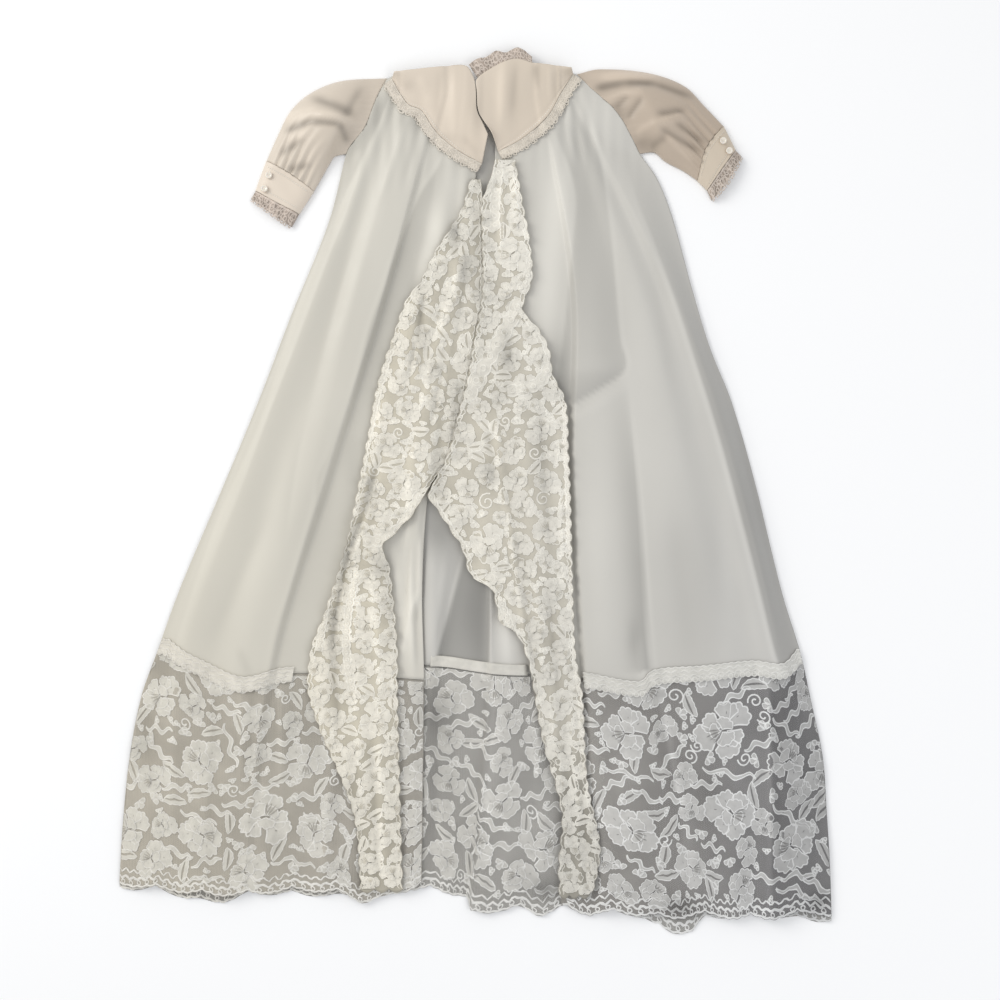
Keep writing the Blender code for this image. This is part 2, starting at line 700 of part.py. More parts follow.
def make_button(name, x, y, base):
    """A small round button with a soft rim."""
    levels = (
        (BUTTON_RADIUS - BUTTON_RIM, 0),
        (BUTTON_RADIUS, BUTTON_RIM),
        (BUTTON_RADIUS, BUTTON_THICKNESS - BUTTON_RIM),
        (BUTTON_RADIUS - BUTTON_RIM, BUTTON_THICKNESS),
    )
    points = []
    for radius, level in levels:
        for n in range(BUTTON_SIDES):
            angle = 2 * math.pi * n / BUTTON_SIDES
            points.append((x + radius * math.cos(angle), y + radius * math.sin(angle), base + level))

    def point(i, j):
        return j * BUTTON_SIDES + i % BUTTON_SIDES

    faces = grid_faces(point, BUTTON_SIDES, len(levels) - 1)
    faces.append(tuple(point(i, 0) for i in reversed(range(BUTTON_SIDES))))
    faces.append(tuple(point(i, len(levels) - 1) for i in range(BUTTON_SIDES)))
    return add_object(name, points, faces, "button")


def make_collar(side, outer, neck, outward):
    """A collar wing that rolls up to the neck, and the lace along its outer edge."""
    def under(x, y, s, t):
        return over_fronts(x, y) + COLLAR_ROLL * ease(t)

    cloth("collar_" + side, strip(outer, neck), under, SATIN, steps(COLLAR_STEPS), steps(5), "satin")

    def edge(s):
        """A point on the chords of the wing's own outer edge."""
        i = min(int(s * COLLAR_STEPS), COLLAR_STEPS - 1)
        a, b = along(outer, i / COLLAR_STEPS), along(outer, (i + 1) / COLLAR_STEPS)
        part = s * COLLAR_STEPS - i
        return a[0] + (b[0] - a[0]) * part, a[1] + (b[1] - a[1]) * part

    def lace_place(s, t):
        x, y = edge(s)
        ahead, behind = edge(min(s + 0.02, 1)), edge(max(s - 0.02, 0))
        length = math.dist(ahead, behind)
        away = (ahead[1] - behind[1]) / length * outward, (behind[0] - ahead[0]) / length * outward
        lobe = 0.75 + 0.25 * abs(math.sin(math.pi * COLLAR_LACE_LOBES * s))
        reach = 1.5 * SEAM_GAP + COLLAR_LACE_WIDTH * lobe * t
        return x + away[0] * reach, y + away[1] * reach

    def lace_under(x, y, s, t):
        return over_fronts(x, y)

    across = steps(2 * COLLAR_STEPS)
    cloth("collar_lace_" + side, lace_place, lace_under, LACE, across, (0, 0.5, 1), "trim")


def make_neck():
    """The lace at the back of the neck, which comes out from under the collar's neck edge."""
    def under(x, y, s, t):
        collar = over_fronts(x, y) + COLLAR_ROLL
        return collar - NECK_LACE_DROP * ease(t) - 1.3 * RESTING_GAP - LACE

    cloth("neck_lace", strip(NECK_LACE_INNER, NECK_LACE_OUTER), under, LACE, steps(18), (0, 0.5, 1), "trim")


for old in list(bpy.data.objects):
    bpy.data.objects.remove(old)

make_body()
make_hem_trims()
make_ruffles()
make_sleeve(
    "left", LEFT_SIDE, LEFT_SHOULDER_Y, LEFT_SLEEVE_OUTER, LEFT_SLEEVE_INNER, LEFT_CUFF_SEAM,
    LEFT_CUFF_END, LEFT_LACE_END, LEFT_BUTTONS,
)
make_sleeve(
    "right", RIGHT_SIDE, RIGHT_SHOULDER_Y, RIGHT_SLEEVE_OUTER, RIGHT_SLEEVE_INNER, RIGHT_CUFF_SEAM,
    RIGHT_CUFF_END, RIGHT_LACE_END, RIGHT_BUTTONS,
)
make_collar("left", LEFT_COLLAR_OUTER, LEFT_COLLAR_NECK, 1)
make_collar("right", RIGHT_COLLAR_OUTER, RIGHT_COLLAR_NECK, -1)
make_neck()
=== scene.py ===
"""The looks of a long christening gown in satin and floral net lace, laid flat on a pale floor.

Tables are in millimetres, in the part's own frame: X to the viewer's right, Y from the hem to the neck, Z
up from the surface. The fold tables and outlines are those of the part's source, and each cloth here is a
thin shell within the wall of the solid that it stands for.
"""

import math
import random

import bpy
import numpy as np
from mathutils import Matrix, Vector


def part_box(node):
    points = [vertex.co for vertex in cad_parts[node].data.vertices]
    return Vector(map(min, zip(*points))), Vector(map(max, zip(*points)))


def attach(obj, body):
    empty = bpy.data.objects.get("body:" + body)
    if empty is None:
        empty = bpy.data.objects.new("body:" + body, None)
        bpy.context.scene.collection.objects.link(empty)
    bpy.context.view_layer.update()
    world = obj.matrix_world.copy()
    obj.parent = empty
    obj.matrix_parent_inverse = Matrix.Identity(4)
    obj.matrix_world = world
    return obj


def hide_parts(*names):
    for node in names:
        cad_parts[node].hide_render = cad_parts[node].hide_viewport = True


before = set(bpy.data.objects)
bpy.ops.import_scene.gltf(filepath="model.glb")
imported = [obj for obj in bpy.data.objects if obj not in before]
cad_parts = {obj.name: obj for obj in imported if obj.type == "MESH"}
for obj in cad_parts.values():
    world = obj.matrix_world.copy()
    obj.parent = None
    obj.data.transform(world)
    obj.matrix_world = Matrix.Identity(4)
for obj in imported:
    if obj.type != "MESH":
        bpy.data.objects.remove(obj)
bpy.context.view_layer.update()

MM = 0.001

# Walls and clearances of the solids that the shells lie in
SATIN = 1.6
LACE = 1.2
SEAM_GAP = 0.4
RESTING_GAP = 0.4
SPAN = 5.0

# Thickness of the shells, and the gap between two of them at a seam
SATIN_SHELL = 0.5
CUFF_SHELL = 0.8
COLLAR_SHELL = 0.7
TAPE_SHELL = 0.5
TRIM_SHELL = 0.3
NET_SHELL = 0.25
SHELL_GAP = 0.12

# Heights of the main forms
ARMHOLE_RISE = 8.0
SLEEVE_HEIGHT = 22.0
SLEEVE_EDGE = 3.6
CUFF_HEIGHT = 9.6
CUFF_LACE_HEIGHT = 8.8
CUFF_LACE_LIFT = 0.7
COLLAR_ROLL = 8.0
NECK_LACE_DROP = 4.0

LEFT_SHOULDER_Y = 414.0
RIGHT_SHOULDER_Y = 418.0
UNDERARM_Y = 339.0

# Side edges, from hem to shoulder: (Y, X)
LEFT_SIDE = (
    (-440, -359), (-394, -357), (-339, -354), (-269, -347), (-206, -335), (-161, -319), (-100, -297),
    (-17, -262), (91, -217), (175, -185), (269, -147), (339, -129), (346, -125), (362, -111),
    (377, -104), (396, -97), (414, -88),
)
RIGHT_SIDE = (
    (-440, 358), (-374, 356), (-322, 353), (-267, 349), (-205, 336), (-164, 327), (-102, 308),
    (12, 280), (88, 258), (143, 236), (202, 218), (275, 198), (313, 183), (339, 165), (359, 154),
    (380, 140), (401, 118), (418, 102),
)

# Front opening edges, from hem to neck: (Y, X)
LEFT_OPENING = ((-440, -54), (-190, -51), (-100, -53), (-10, -48), (90, -33), (200, -15), (290, -2), (352, 4))
RIGHT_OPENING = (
    (-440, 88), (-374, 85), (-322, 88), (-253, 70), (-199, 58), (-161, 54), (-95, 44), (-28, 34),
    (38, 22), (191, 22), (326, 20), (352, 20),
)

# Top edges of the panels, under the collar: (X, Y)
LEFT_TOP = ((-88, 414), (-60, 421), (-35, 423), (-20, 410), (-8, 385), (3, 352))
RIGHT_TOP = ((20, 352), (28, 385), (40, 410), (55, 424), (74, 423), (102, 418))
BACK_TOP = (
    (-88, 414), (-60, 421), (-35, 423), (-12, 414), (8, 408), (30, 414), (55, 424), (74, 423), (102, 418),
)

# Seams between the satin and the hem lace: (X, Y)
LEFT_HEM_SEAM = ((-316, -155), (-278, -174), (-230, -192), (-195, -184), (-169, -183), (-50, -189))
RIGHT_HEM_SEAM = (
    (58, -190), (108, -188), (163, -197), (177, -186), (225, -181), (280, -176), (308, -178), (327, -165),
)
BACK_HEM_SEAM = ((-316, -158), (-200, -172), (-39, -175), (14, -182), (55, -184), (200, -178), (327, -166))

# Lower edges of the hem lace: (X, Y)
LEFT_HEM = (
    (-357, -390), (-316, -394), (-287, -398), (-223, -399), (-185, -396), (-131, -399), (-112, -407),
    (-75, -398), (-53, -388),
)
RIGHT_HEM = (
    (88, -413), (115, -420), (126, -417), (170, -420), (195, -424), (225, -420), (280, -423),
    (336, -418), (358, -423),
)
BACK_HEM = (
    (-357, -394), (-316, -397), (-287, -405), (-255, -408), (-223, -400), (-130, -402), (-53, -395),
    (-19, -401), (-9, -405), (-3, -419), (40, -414), (65, -421), (88, -414), (170, -424), (181, -433),
    (198, -439), (218, -437), (228, -426), (300, -424), (358, -428),
)
SCALLOP_PITCH = 46.0
SCALLOP_DEPTH = 5.0
PICOT_PITCH = 9.2
PICOT_DEPTH = 1.6

# Folds of the two fronts: X at five places down the gown, and height above a flat lie at four
FOLD_X_AT = (400, 200, 20, -175, -440)
FOLD_HEIGHT_AT = (350, 240, 20, -440)
LEFT_FOLDS = (
    ("side_roll", (-83, -157, -225, -293, -330), (4, 6, 8, 5)),
    ("side_valley", (-76, -138, -194, -262, -298), (2, 3, 4, 3)),
    ("middle_ridge", (-64, -117, -162, -229, -262), (4, 7, 9, 6)),
    ("pleat_crest", (-38, -92, -149, -206, -238), (4, 8, 8, 6)),
    ("pleat_foot", (-31, -85, -139, -197, -229), (2, 1, 1, 3)),
    ("strip_foot", (-24, -66, -115, -170, -182), (2, 1, 1, 2)),
    ("strip_ridge", (-14, -46, -92, -124, -126), (3, 5, 5, 4)),
    ("placket_valley", (-6, -30, -66, -74, -76), (2, 2, 1, 1)),
    ("placket_ridge", (-1, -22, -54, -62, -64), (2, 3, 4, 3)),
)
RIGHT_FOLDS = (
    ("strip_ridge", (38, 52, 55, 76, 100), (3, 4, 4, 3)),
    ("pleat_foot", (62, 94, 92, 104, 120), (2, 2, 2, 2)),
    ("pleat_crest", (68, 102, 101, 112, 129), (4, 8, 8, 6)),
    ("crease", (84, 139, 159, 172, 214), (2, 4, 4, 2)),
    ("middle_ridge", (89, 164, 205, 243, 258), (4, 8, 10, 7)),
    ("side_valley", (93, 182, 231, 273, 279), (3, 5, 6, 4)),
    ("side_crest", (97, 196, 257, 300, 301), (4, 10, 13, 9)),
)
OPENING_LIFT = 1.0

# Folds of the back where it shows between the fronts
GAP_AT = (20, -60, -175, -440)
GAP_FOLDS = (
    ("left_foot", (-36, -54, -64, -70), (0, 0, 0, 0)),
    ("bright_ridge", (-10, -34, -46, -52), (0, 3, 4, 2)),
    ("ridge_foot", (6, -12, -33, -36), (0, 0, 0, 0)),
    ("step_foot", (10, 9, 11, -13), (0, 0, 0, 0)),
    ("step_crest", (16, 15, 17, -6), (0, 2, 4, 4)),
    ("right_foot", (44, 56, 76, 92), (0, 0, 0, 0)),
)

# Edges of the two lace ruffles on the front: (Y, X)
LEFT_RUFFLE_OUTER = (
    (-398, -114), (-320, -122), (-209, -165), (-159, -164), (-119, -149), (-59, -130), (-9, -119),
    (54, -107), (108, -97), (151, -83), (194, -67), (208, -55), (240, -39), (259, -26), (287, -11),
    (312, -4),
)
LEFT_RUFFLE_INNER = (
    (-398, -74), (-320, -76), (-200, -79), (-159, -79), (-109, -83), (-70, -88), (-56, -94), (-43, -82),
    (-24, -64), (-2, -49), (38, -25), (77, -14), (111, -5), (151, 2), (196, 10), (250, 10), (290, 8),
    (312, 6),
)
RIGHT_RUFFLE_INNER = (
    (-404, 86), (-374, 85), (-322, 88), (-253, 70), (-209, 62), (-174, 56), (-141, 42), (-133, 28),
    (-109, 22), (-95, 15), (-87, -1), (-58, -11), (-42, -21), (-22, -34), (-6, -46), (3, -42),
    (38, -21), (77, -11), (111, -2), (151, 5), (196, 13), (250, 13), (290, 12), (331, 20),
)
RIGHT_RUFFLE_OUTER = (
    (-404, 115), (-391, 120), (-356, 125), (-288, 112), (-205, 107), (-159, 100), (-84, 97), (-9, 95),
    (41, 93), (91, 90), (116, 78), (141, 74), (161, 64), (181, 48), (211, 57), (246, 55), (301, 45),
    (331, 40),
)
RUFFLE_WAVE = 3.2
LEFT_RUFFLE_WAVES = 17
RIGHT_RUFFLE_WAVES = 19

# Sleeves and cuffs: (X, Y)
LEFT_SLEEVE_OUTER = ((-135, 411), (-165, 399), (-185, 381), (-198, 356), (-209, 331))
LEFT_SLEEVE_INNER = ((-141, 336), (-146, 329), (-154, 315), (-162, 301))
LEFT_CUFF_SEAM = ((-209, 331), (-186, 318), (-162, 301))
LEFT_CUFF_END = ((-220, 301), (-199, 289), (-177, 278))
LEFT_LACE_END = ((-226, 291), (-206, 276), (-186, 262))
RIGHT_SLEEVE_OUTER = ((125, 423), (175, 419), (210, 406), (230, 386), (249, 366))
RIGHT_SLEEVE_INNER = ((180, 340), (191, 331), (210, 321), (223, 312))
RIGHT_CUFF_SEAM = ((249, 366), (231, 343), (223, 312))
RIGHT_CUFF_END = ((261, 342), (246, 321), (233, 302))
RIGHT_LACE_END = ((269, 334), (256, 309), (239, 289))
CUFF_GATHERS = 7
CUFF_GATHER_HEIGHT = 1.6

# Collar wings: (X, Y)
LEFT_COLLAR_OUTER = ((-83, 412), (-67, 387), (-54, 381), (-41, 362), (-28, 349), (-14, 339), (7, 328))
LEFT_COLLAR_NECK = ((-80, 417), (-32, 422), (-9, 423), (-1, 411), (1, 398), (2, 379), (8, 366), (13, 355))
RIGHT_COLLAR_OUTER = ((98, 417), (86, 398), (72, 374), (46, 352), (23, 340))
RIGHT_COLLAR_NECK = (
    (96, 421), (72, 424), (58, 426), (40, 430), (20, 423), (2, 410), (2, 397), (4, 377), (17, 358),
)
COLLAR_LACE_WIDTH = 10.0
NECK_LACE_INNER = ((57, 423), (40, 427), (21, 420), (5, 408))
NECK_LACE_OUTER = ((57, 434), (43, 443), (31, 438), (21, 440), (11, 434), (2, 432), (-6, 426))

# Creases pressed into the satin: X and Y of both ends, width, height (a trough is negative)
LEFT_CREASES = (
    (-60, 395, -92, 300, 4, 1.2),
    (-48, 395, -70, 310, 4, -1.2),
    (-90, 300, -150, 120, 9, 0.8),
    (-176, 60, -232, -120, 12, 1.0),
    (-125, 240, -165, 90, 6, -0.7),
    (-210, -30, -262, -150, 8, -0.8),
    (-110, 330, -135, 250, 5, 1.0),
    (-68, -20, -64, -170, 4, 1.6),
    (-60, -60, -58, -180, 3, -1.4),
    (-235, -160, -224, -186, 5, -1.5),
    (-300, -60, -316, -140, 6, 0.8),
)
RIGHT_CREASES = (
    (88, 396, 100, 331, 3.5, 1.8),
    (96, 390, 108, 330, 3.0, -1.2),
    (110, 396, 125, 341, 3.5, 1.6),
    (95, 79, 150, 119, 8, -1.6),
    (92, 70, 152, 108, 7, 1.2),
    (165, -148, 168, -192, 4, 1.8),
    (148, 150, 172, 0, 10, 0.7),
    (178, 250, 200, 100, 8, -0.7),
    (120, -20, 130, -170, 12, 0.7),
    (196, -20, 214, -168, 10, -0.8),
    (260, 100, 292, -60, 7, -0.8),
    (262, -60, 284, -160, 6, 0.8),
)
PLACKET_CREASES = (
    (-54, -48, -56, -101, 3, 2.4),
    (-56, -101, -68, -132, 3, 2.4),
    (-68, -132, -74, -166, 3, 2.0),
    (-66, -50, -70, -110, 2.5, -2.0),
    (-60, -110, -58, -175, 2.5, -1.8),
    (-80, -60, -76, -120, 3, 1.6),
)
BACK_CREASES = (
    (-44, -60, -42, -170, 7, 2.6),
    (-30, -70, -40, -165, 5, 1.4),
    (-14, -80, -34, -172, 5, -1.6),
    (6, -90, 4, -174, 4, -1.4),
    (16, -92, 15, -176, 2.2, 2.6),
    (30, -120, 34, -176, 6, 1.2),
)
HEM_CREASES = (
    (-234, -190, -234, -290, 3, 1.8),
    (-195, -190, -195, -290, 3, 1.8),
    (-222, -195, -226, -300, 4, -1.4),
    (-182, -195, -186, -300, 4, -1.4),
    (-300, -190, -306, -380, 6, 1.2),
    (-262, -200, -268, -390, 6, -1.2),
    (-140, -200, -150, -390, 6, 1.4),
    (179, -192, 200, -306, 3, 2.0),
    (190, -190, 212, -306, 4, -1.6),
    (293, -198, 296, -374, 2.5, 2.2),
    (300, -198, 304, -374, 3, -1.6),
    (120, -200, 130, -400, 6, 1.2),
    (240, -195, 248, -400, 7, 1.0),
    (15, -190, 12, -269, 3, 2.2),
    (12, -269, 5, -349, 3, 2.2),
    (5, -349, -5, -412, 3, 2.2),
    (-30, -200, -36, -400, 5, 1.4),
    (60, -195, 66, -400, 5, 1.2),
)

# Creases of the ruffles, as the creases of the satin
LEFT_RUFFLE_CREASES = (
    (-14, 240, -20, 191, 6, 1.6),
    (-20, 191, -39, 142, 6, 1.6),
    (-39, 142, -50, 106, 6, 1.6),
    (-50, 106, -62, 60, 6, 1.6),
    (-62, 60, -70, -20, 6, 1.6),
    (-50, 195, -66, 112, 2.6, -2.6),
    (-98, 23, -112, -25, 3, -3.4),
    (-112, -25, -131, -78, 3, -3.6),
    (-131, -78, -142, -149, 3, -3.4),
    (-142, -149, -136, -240, 3, -2.6),
    (-92, 90, -104, 20, 5, 2.6),
    (-122, -20, -146, -120, 5, 2.8),
    (-118, -80, -122, -150, 6, 2.4),
    (-100, -90, -94, -190, 5, 2.6),
    (-118, -190, -112, -300, 5, 2.4),
    (-96, -200, -90, -390, 4, 2.2),
    (-104, -250, -98, -390, 2.6, -2.4),
    (-30, 130, -45, 60, 3, -2.2),
    (-14, 60, -34, -10, 4, 2.0),
    (-10, 120, -24, 50, 3, -2.4),
)
RIGHT_RUFFLE_CREASES = (
    (28, 325, 26, 240, 3, 2.4),
    (40, 320, 42, 270, 4, 2.2),
    (22, 71, 28, 4, 2.4, 2.8),
    (28, 4, 35, -28, 2.4, 2.8),
    (35, -28, 41, -74, 2.4, 2.8),
    (41, -74, 58, -199, 2.4, 2.8),
    (14, 60, 20, 4, 3, -2.2),
    (50, 60, 56, -40, 6, 1.8),
    (66, 80, 76, -60, 4, -2.0),
    (84, 70, 90, -100, 4, 2.4),
    (58, -60, 70, -190, 5, 1.8),
    (74, -100, 84, -200, 3, -2.0),
    (76, -200, 90, -330, 4, 2.4),
    (96, -210, 104, -330, 4, 2.0),
    (102, -330, 106, -400, 3, 2.0),
)

# Soft painted shade, and painted light where the part is negative: X, Y, both radii, and the part of the
# light that is taken
LEFT_SHADES = (
    (-22, 312, 13, 30, -0.26),
    (-38, 262, 13, 30, -0.30),
    (-52, 222, 9, 22, -0.20),
    (-124, 30, 9, 50, 0.08),
    (-90, -76, 10, 26, 0.12),
    (-68, -120, 14, 60, -0.24),
    (-62, 372, 15, 12, 0.18),
    (-100, 300, 12, 60, -0.05),
)
RIGHT_SHADES = (
    (84, 116, 11, 36, 0.30),
    (92, 80, 8, 20, 0.08),
    (82, 290, 16, 60, -0.26),
    (72, 200, 14, 60, -0.22),
    (222, -100, 40, 90, 0.09),
    (122, 0, 22, 110, -0.10),
    (166, 130, 16, 90, -0.06),
    (190, 20, 22, 90, -0.04),
    (252, -60, 10, 140, -0.06),
    (158, -148, 7, 20, 0.14),
    (132, 376, 12, 30, -0.06),
)
BACK_SHADES = (
    (-30, -100, 15, 36, -0.10),
    (0, -130, 13, 50, 0.18),
    (-46, -150, 10, 40, -0.10),
    (-36, -40, 14, 22, 0.30),
    (34, -140, 17, 46, -0.40),
    (5, 372, 12, 30, -0.50),
)
HEM_SHADES = (
    (-38, -225, 16, 26, 0.34),
    (-34, -280, 14, 40, 0.18),
    (350, -300, 12, 110, 0.12),
    (236, -300, 12, 60, 0.10),
    (70, -400, 16, 12, 0.42),
    (150, -300, 12, 60, -0.14),
    (262, -280, 12, 60, -0.10),
    (205, -418, 20, 9, 0.42),
    (112, -250, 10, 60, -0.16),
    (120, -330, 14, 40, -0.12),
    (345, -412, 12, 10, 0.35),
    (-318, -176, 16, 12, 0.20),
    (-330, -250, 12, 30, 0.16),
    (-200, -352, 10, 14, 0.12),
    (-165, -240, 14, 30, 0.10),
    (12, -260, 12, 90, -0.20),
)
RUFFLE_SHADES = (
    (-20, 256, 5, 20, 0.34),
    (-12, 222, 6, 16, 0.26),
    (2, 230, 6, 60, 0.22),
    (-54, 165, 4, 42, 0.24),
    (-44, 140, 6, 20, 0.10),
    (-104, -10, 5, 34, 0.20),
    (-128, -70, 5, 36, 0.22),
    (-142, -140, 5, 36, 0.18),
    (-92, -74, 13, 16, 0.24),
    (-84, -112, 8, 34, 0.18),
    (-20, 90, 7, 36, 0.16),
    (-36, 26, 7, 40, 0.20),
    (32, 136, 8, 26, 0.34),
    (30, 190, 12, 8, 0.16),
    (20, 95, 12, 16, 0.16),
    (70, 100, 14, 8, 0.12),
    (12, 20, 10, 12, 0.20),
    (60, 20, 22, 60, 0.10),
    (70, -130, 24, 80, 0.10),
    (85, -260, 16, 80, 0.12),
    (102, -350, 24, 60, 0.06),
    (-118, -300, 10, 80, 0.08),
    (-140, -190, 8, 50, 0.12),
    (-80, -300, 6, 100, 0.08),
)
COLLAR_SHADES = (
    (1, 374, 6, 20, 0.18),
    (-67, 404, 8, 6, 0.12),
    (-30, 352, 14, 6, 0.10),
    (38, 396, 7, 26, 0.12),
    (60, 418, 4, 8, 0.18),
    (84, 400, 10, 8, 0.08),
)
SLEEVE_SHADES = (
    (-112, 388, 9, 26, 0.12),
    (-126, 356, 8, 14, 0.14),
    (142, 376, 9, 12, 0.26),
    (168, 348, 11, 9, 0.28),
    (150, 416, 40, 5, -0.12),
)

# Shadows beside laps and pleats: the side that is dark (1 is right), how far it reaches, then the Y and X
# of the fold and the part of the light that is taken there
LEFT_LAPS = (
    (1, 30, (60, -131, 0), (71, -127, 0.05), (113, -116, 0.11), (164, -103, 0.14), (202, -89, 0.15),
     (227, -81, 0.16), (264, -67, 0.16), (297, -53, 0.17), (327, -34, 0.15), (345, -28, 0)),
    (1, 22, (-180, -205, 0.04), (-136, -196, 0.06), (-101, -183, 0.06), (-60, -171, 0.07), (-12, -158, 0.07),
     (14, -155, 0.06), (36, -145, 0.05), (68, -137, 0)),
    (-1, 8, (-60, -192, 0), (-12, -186, 0.05), (42, -177, 0.05), (90, -165, 0)),
    (-1, 30, (-165, -306, 0.03), (-28, -260, 0.05), (68, -218, 0.05), (227, -167, 0.04), (300, -140, 0)),
    (-1, 30, (240, -150, 0), (288, -136, 0.10), (325, -119, 0.12), (385, -91, 0.12), (405, -85, 0)),
)
RIGHT_LAPS = (
    (1, 16, (60, 80, 0), (97, 82, 0.12), (151, 90, 0.12), (195, 95, 0.12), (250, 100, 0.12), (291, 103, 0.12),
     (319, 98, 0.12), (345, 88, 0.08), (378, 74, 0)),
    (-1, 28, (84, 90, 0.18), (103, 122, 0.18), (122, 148, 0.17), (150, 144, 0.15), (180, 141, 0.14),
     (228, 137, 0.13), (272, 132, 0.12), (317, 126, 0.13), (340, 121, 0.14), (362, 112, 0.12), (380, 105, 0)),
    (-1, 17, (-181, 175, 0.28), (-155, 172, 0.28), (-75, 167, 0.26), (4, 161, 0.20), (68, 154, 0.10),
     (115, 149, 0)),
    (1, 60, (-176, 306, 0.26), (-162, 301, 0.30), (-85, 282, 0.32), (-12, 263, 0.31), (61, 243, 0.28),
     (122, 224, 0.24), (189, 202, 0.17), (250, 180, 0.10), (291, 164, 0.06), (339, 150, 0)),
)
BACK_LAPS = (
    (1, 30, (-180, -40, 0.30), (-171, -38, 0.32), (-120, -24, 0.32), (-74, -11, 0.26), (-50, -6, 0)),
    (-1, 22, (-180, 12, 0.26), (-120, 14, 0.26), (-70, 15, 0.20), (-50, 15, 0)),
)
HEM_LAPS = (
    (1, 60, (-440, 298, 0.16), (-300, 297, 0.20), (-176, 294, 0.20)),
    (-1, 7, (-300, 200, 0.16), (-250, 190, 0.20), (-190, 180, 0.16)),
    (1, 7, (-400, 218, -0.06), (-300, 203, -0.16), (-250, 193, -0.16), (-190, 183, -0.06)),
    (1, 12, (-400, -268, 0.06), (-200, -262, 0.08)),
    (1, 10, (-390, -150, 0.06), (-200, -140, 0.08)),
    (-1, 12, (-412, -5, 0.12), (-349, 5, 0.14), (-269, 12, 0.18), (-190, 15, 0.22)),
)
RUFFLE_LAPS = (
    (1, 12, (-200, 58, 0.06), (-74, 41, 0.10), (-28, 35, 0.10), (4, 28, 0.10), (71, 22, 0.08)),
    (1, 9, (106, -50, 0.08), (142, -39, 0.12), (191, -20, 0.14), (235, -14, 0.12)),
    (-1, 9, (-149, -142, 0.14), (-78, -131, 0.16), (-25, -112, 0.16), (23, -98, 0.12), (60, -90, 0)),
)

# Large roses of the lace that show clearly: X, Y, radius
LEFT_HEM_ROSES = (
    (-313, -204, 22), (-274, -271, 25), (-215, -228, 18), (-169, -271, 24), (-211, -328, 29),
    (-322, -288, 18), (-274, -345, 24), (-322, -368, 20), (-160, -345, 23), (-120, -230, 22),
    (-110, -300, 22), (-100, -366, 22),
)
RIGHT_HEM_ROSES = (
    (152, -241, 28), (249, -237, 28), (155, -339, 27), (255, -322, 27), (318, -354, 25), (312, -270, 22),
    (267, -396, 20), (216, -378, 20), (209, -287, 15), (98, -250, 18), (104, -330, 20), (110, -395, 16),
    (180, -402, 16), (330, -206, 14),
)
BACK_HEM_ROSES = (
    (-22, -209, 20), (34, -232, 19), (-26, -290, 17), (28, -310, 21), (-30, -370, 20), (44, -385, 18),
)
LEFT_RUFFLE_ROSES = (
    (-70, 8, 18), (-66, 80, 13), (-34, 172, 9), (-88, 45, 15), (-96, -20, 15), (-90, -38, 12),
    (-140, -128, 15), (-108, -130, 18), (-120, -180, 20), (-100, -230, 20), (-97, -290, 17),
    (-94, -345, 16), (-40, 90, 13), (-24, 60, 12), (-58, 40, 12),
)
RIGHT_RUFFLE_ROSES = (
    (38, 236, 21), (40, 290, 11), (12, -53, 21), (65, 62, 17), (38, 40, 16), (72, 10, 15), (48, -14, 15),
    (74, -40, 17), (50, -80, 15), (78, -100, 15), (60, -140, 15), (86, -160, 14), (84, -214, 18),
    (88, -262, 17), (98, -312, 16), (104, -356, 13), (4, 80, 12), (-14, 34, 12),
)

# Wavy ribbons of the hem lace: both ends
LEFT_HEM_RIBBONS = (
    (-295, -319, -258, -334), (-250, -232, -238, -276), (-172, -322, -138, -334), (-205, -372, -160, -378),
    (-300, -392, -250, -388), (-330, -236, -302, -240), (-236, -300, -196, -296),
)
RIGHT_HEM_RIBBONS = (
    (129, -275, 179, -291), (227, -276, 281, -288), (297, -226, 325, -246), (297, -312, 336, -342),
    (152, -364, 180, -383), (300, -396, 350, -416), (204, -332, 222, -350), (226, -352, 250, -360),
    (100, -210, 130, -216),
)

# Spiral tendrils: X, Y, radius, hand
LEFT_HEM_CURLS = ((-241, -299, 7, 1), (-290, -232, 7, -1), (-190, -208, 6, 1), (-140, -290, 6, -1))
RIGHT_HEM_CURLS = (
    (123, -215, 10, 1), (86, -371, 9, -1), (204, -300, 9, 1), (200, -205, 8, -1), (280, -210, 7, 1),
    (222, -255, 6, -1), (190, -350, 7, 1),
)
RIGHT_RUFFLE_CURLS = ((12, -11, 9, 1), (68, -8, 8, 1), (60, 38, 7, -1), (30, 70, 6, 1))
LEFT_RUFFLE_CURLS = ((-86, -8, 7, 1), (-76, 58, 6, -1), (-100, 20, 6, 1))

# Bright lobed bands where the ruffles fold over: width, then the X and Y of the path
LEFT_RUFFLE_BANDS = (
    (12, (-54, -2), (-66, -26), (-80, -41), (-94, -49), (-112, -50)),
    (8, (-84, 142), (-94, 112), (-99, 90), (-108, 52), (-114, 20)),
    (7, (-120, -12), (-134, -58), (-148, -112), (-156, -160)),
    (8, (-116, -80), (-126, -120), (-128, -160), (-122, -200)),
)
RIGHT_RUFFLE_BANDS = (
    (15, (45, 190), (37, 173), (25, 151), (13, 131), (1, 110), (-8, 92)),
    (12, (54, 172), (68, 160), (75, 138), (69, 114), (52, 102), (32, 100)),
    (10, (24, 322), (20, 290), (20, 262)),
    (9, (42, 318), (50, 296), (54, 270), (54, 250)),
    (8, (56, 232), (52, 212), (44, 200)),
    (8, (-46, -3), (-36, -21), (-22, -42), (-10, -58)),
    (7, (26, -110), (36, -136), (52, -168)),
    (7, (91, 84), (92, 40), (94, -8), (95, -60)),
    (7, (97, -90), (99, -130), (102, -190)),
)

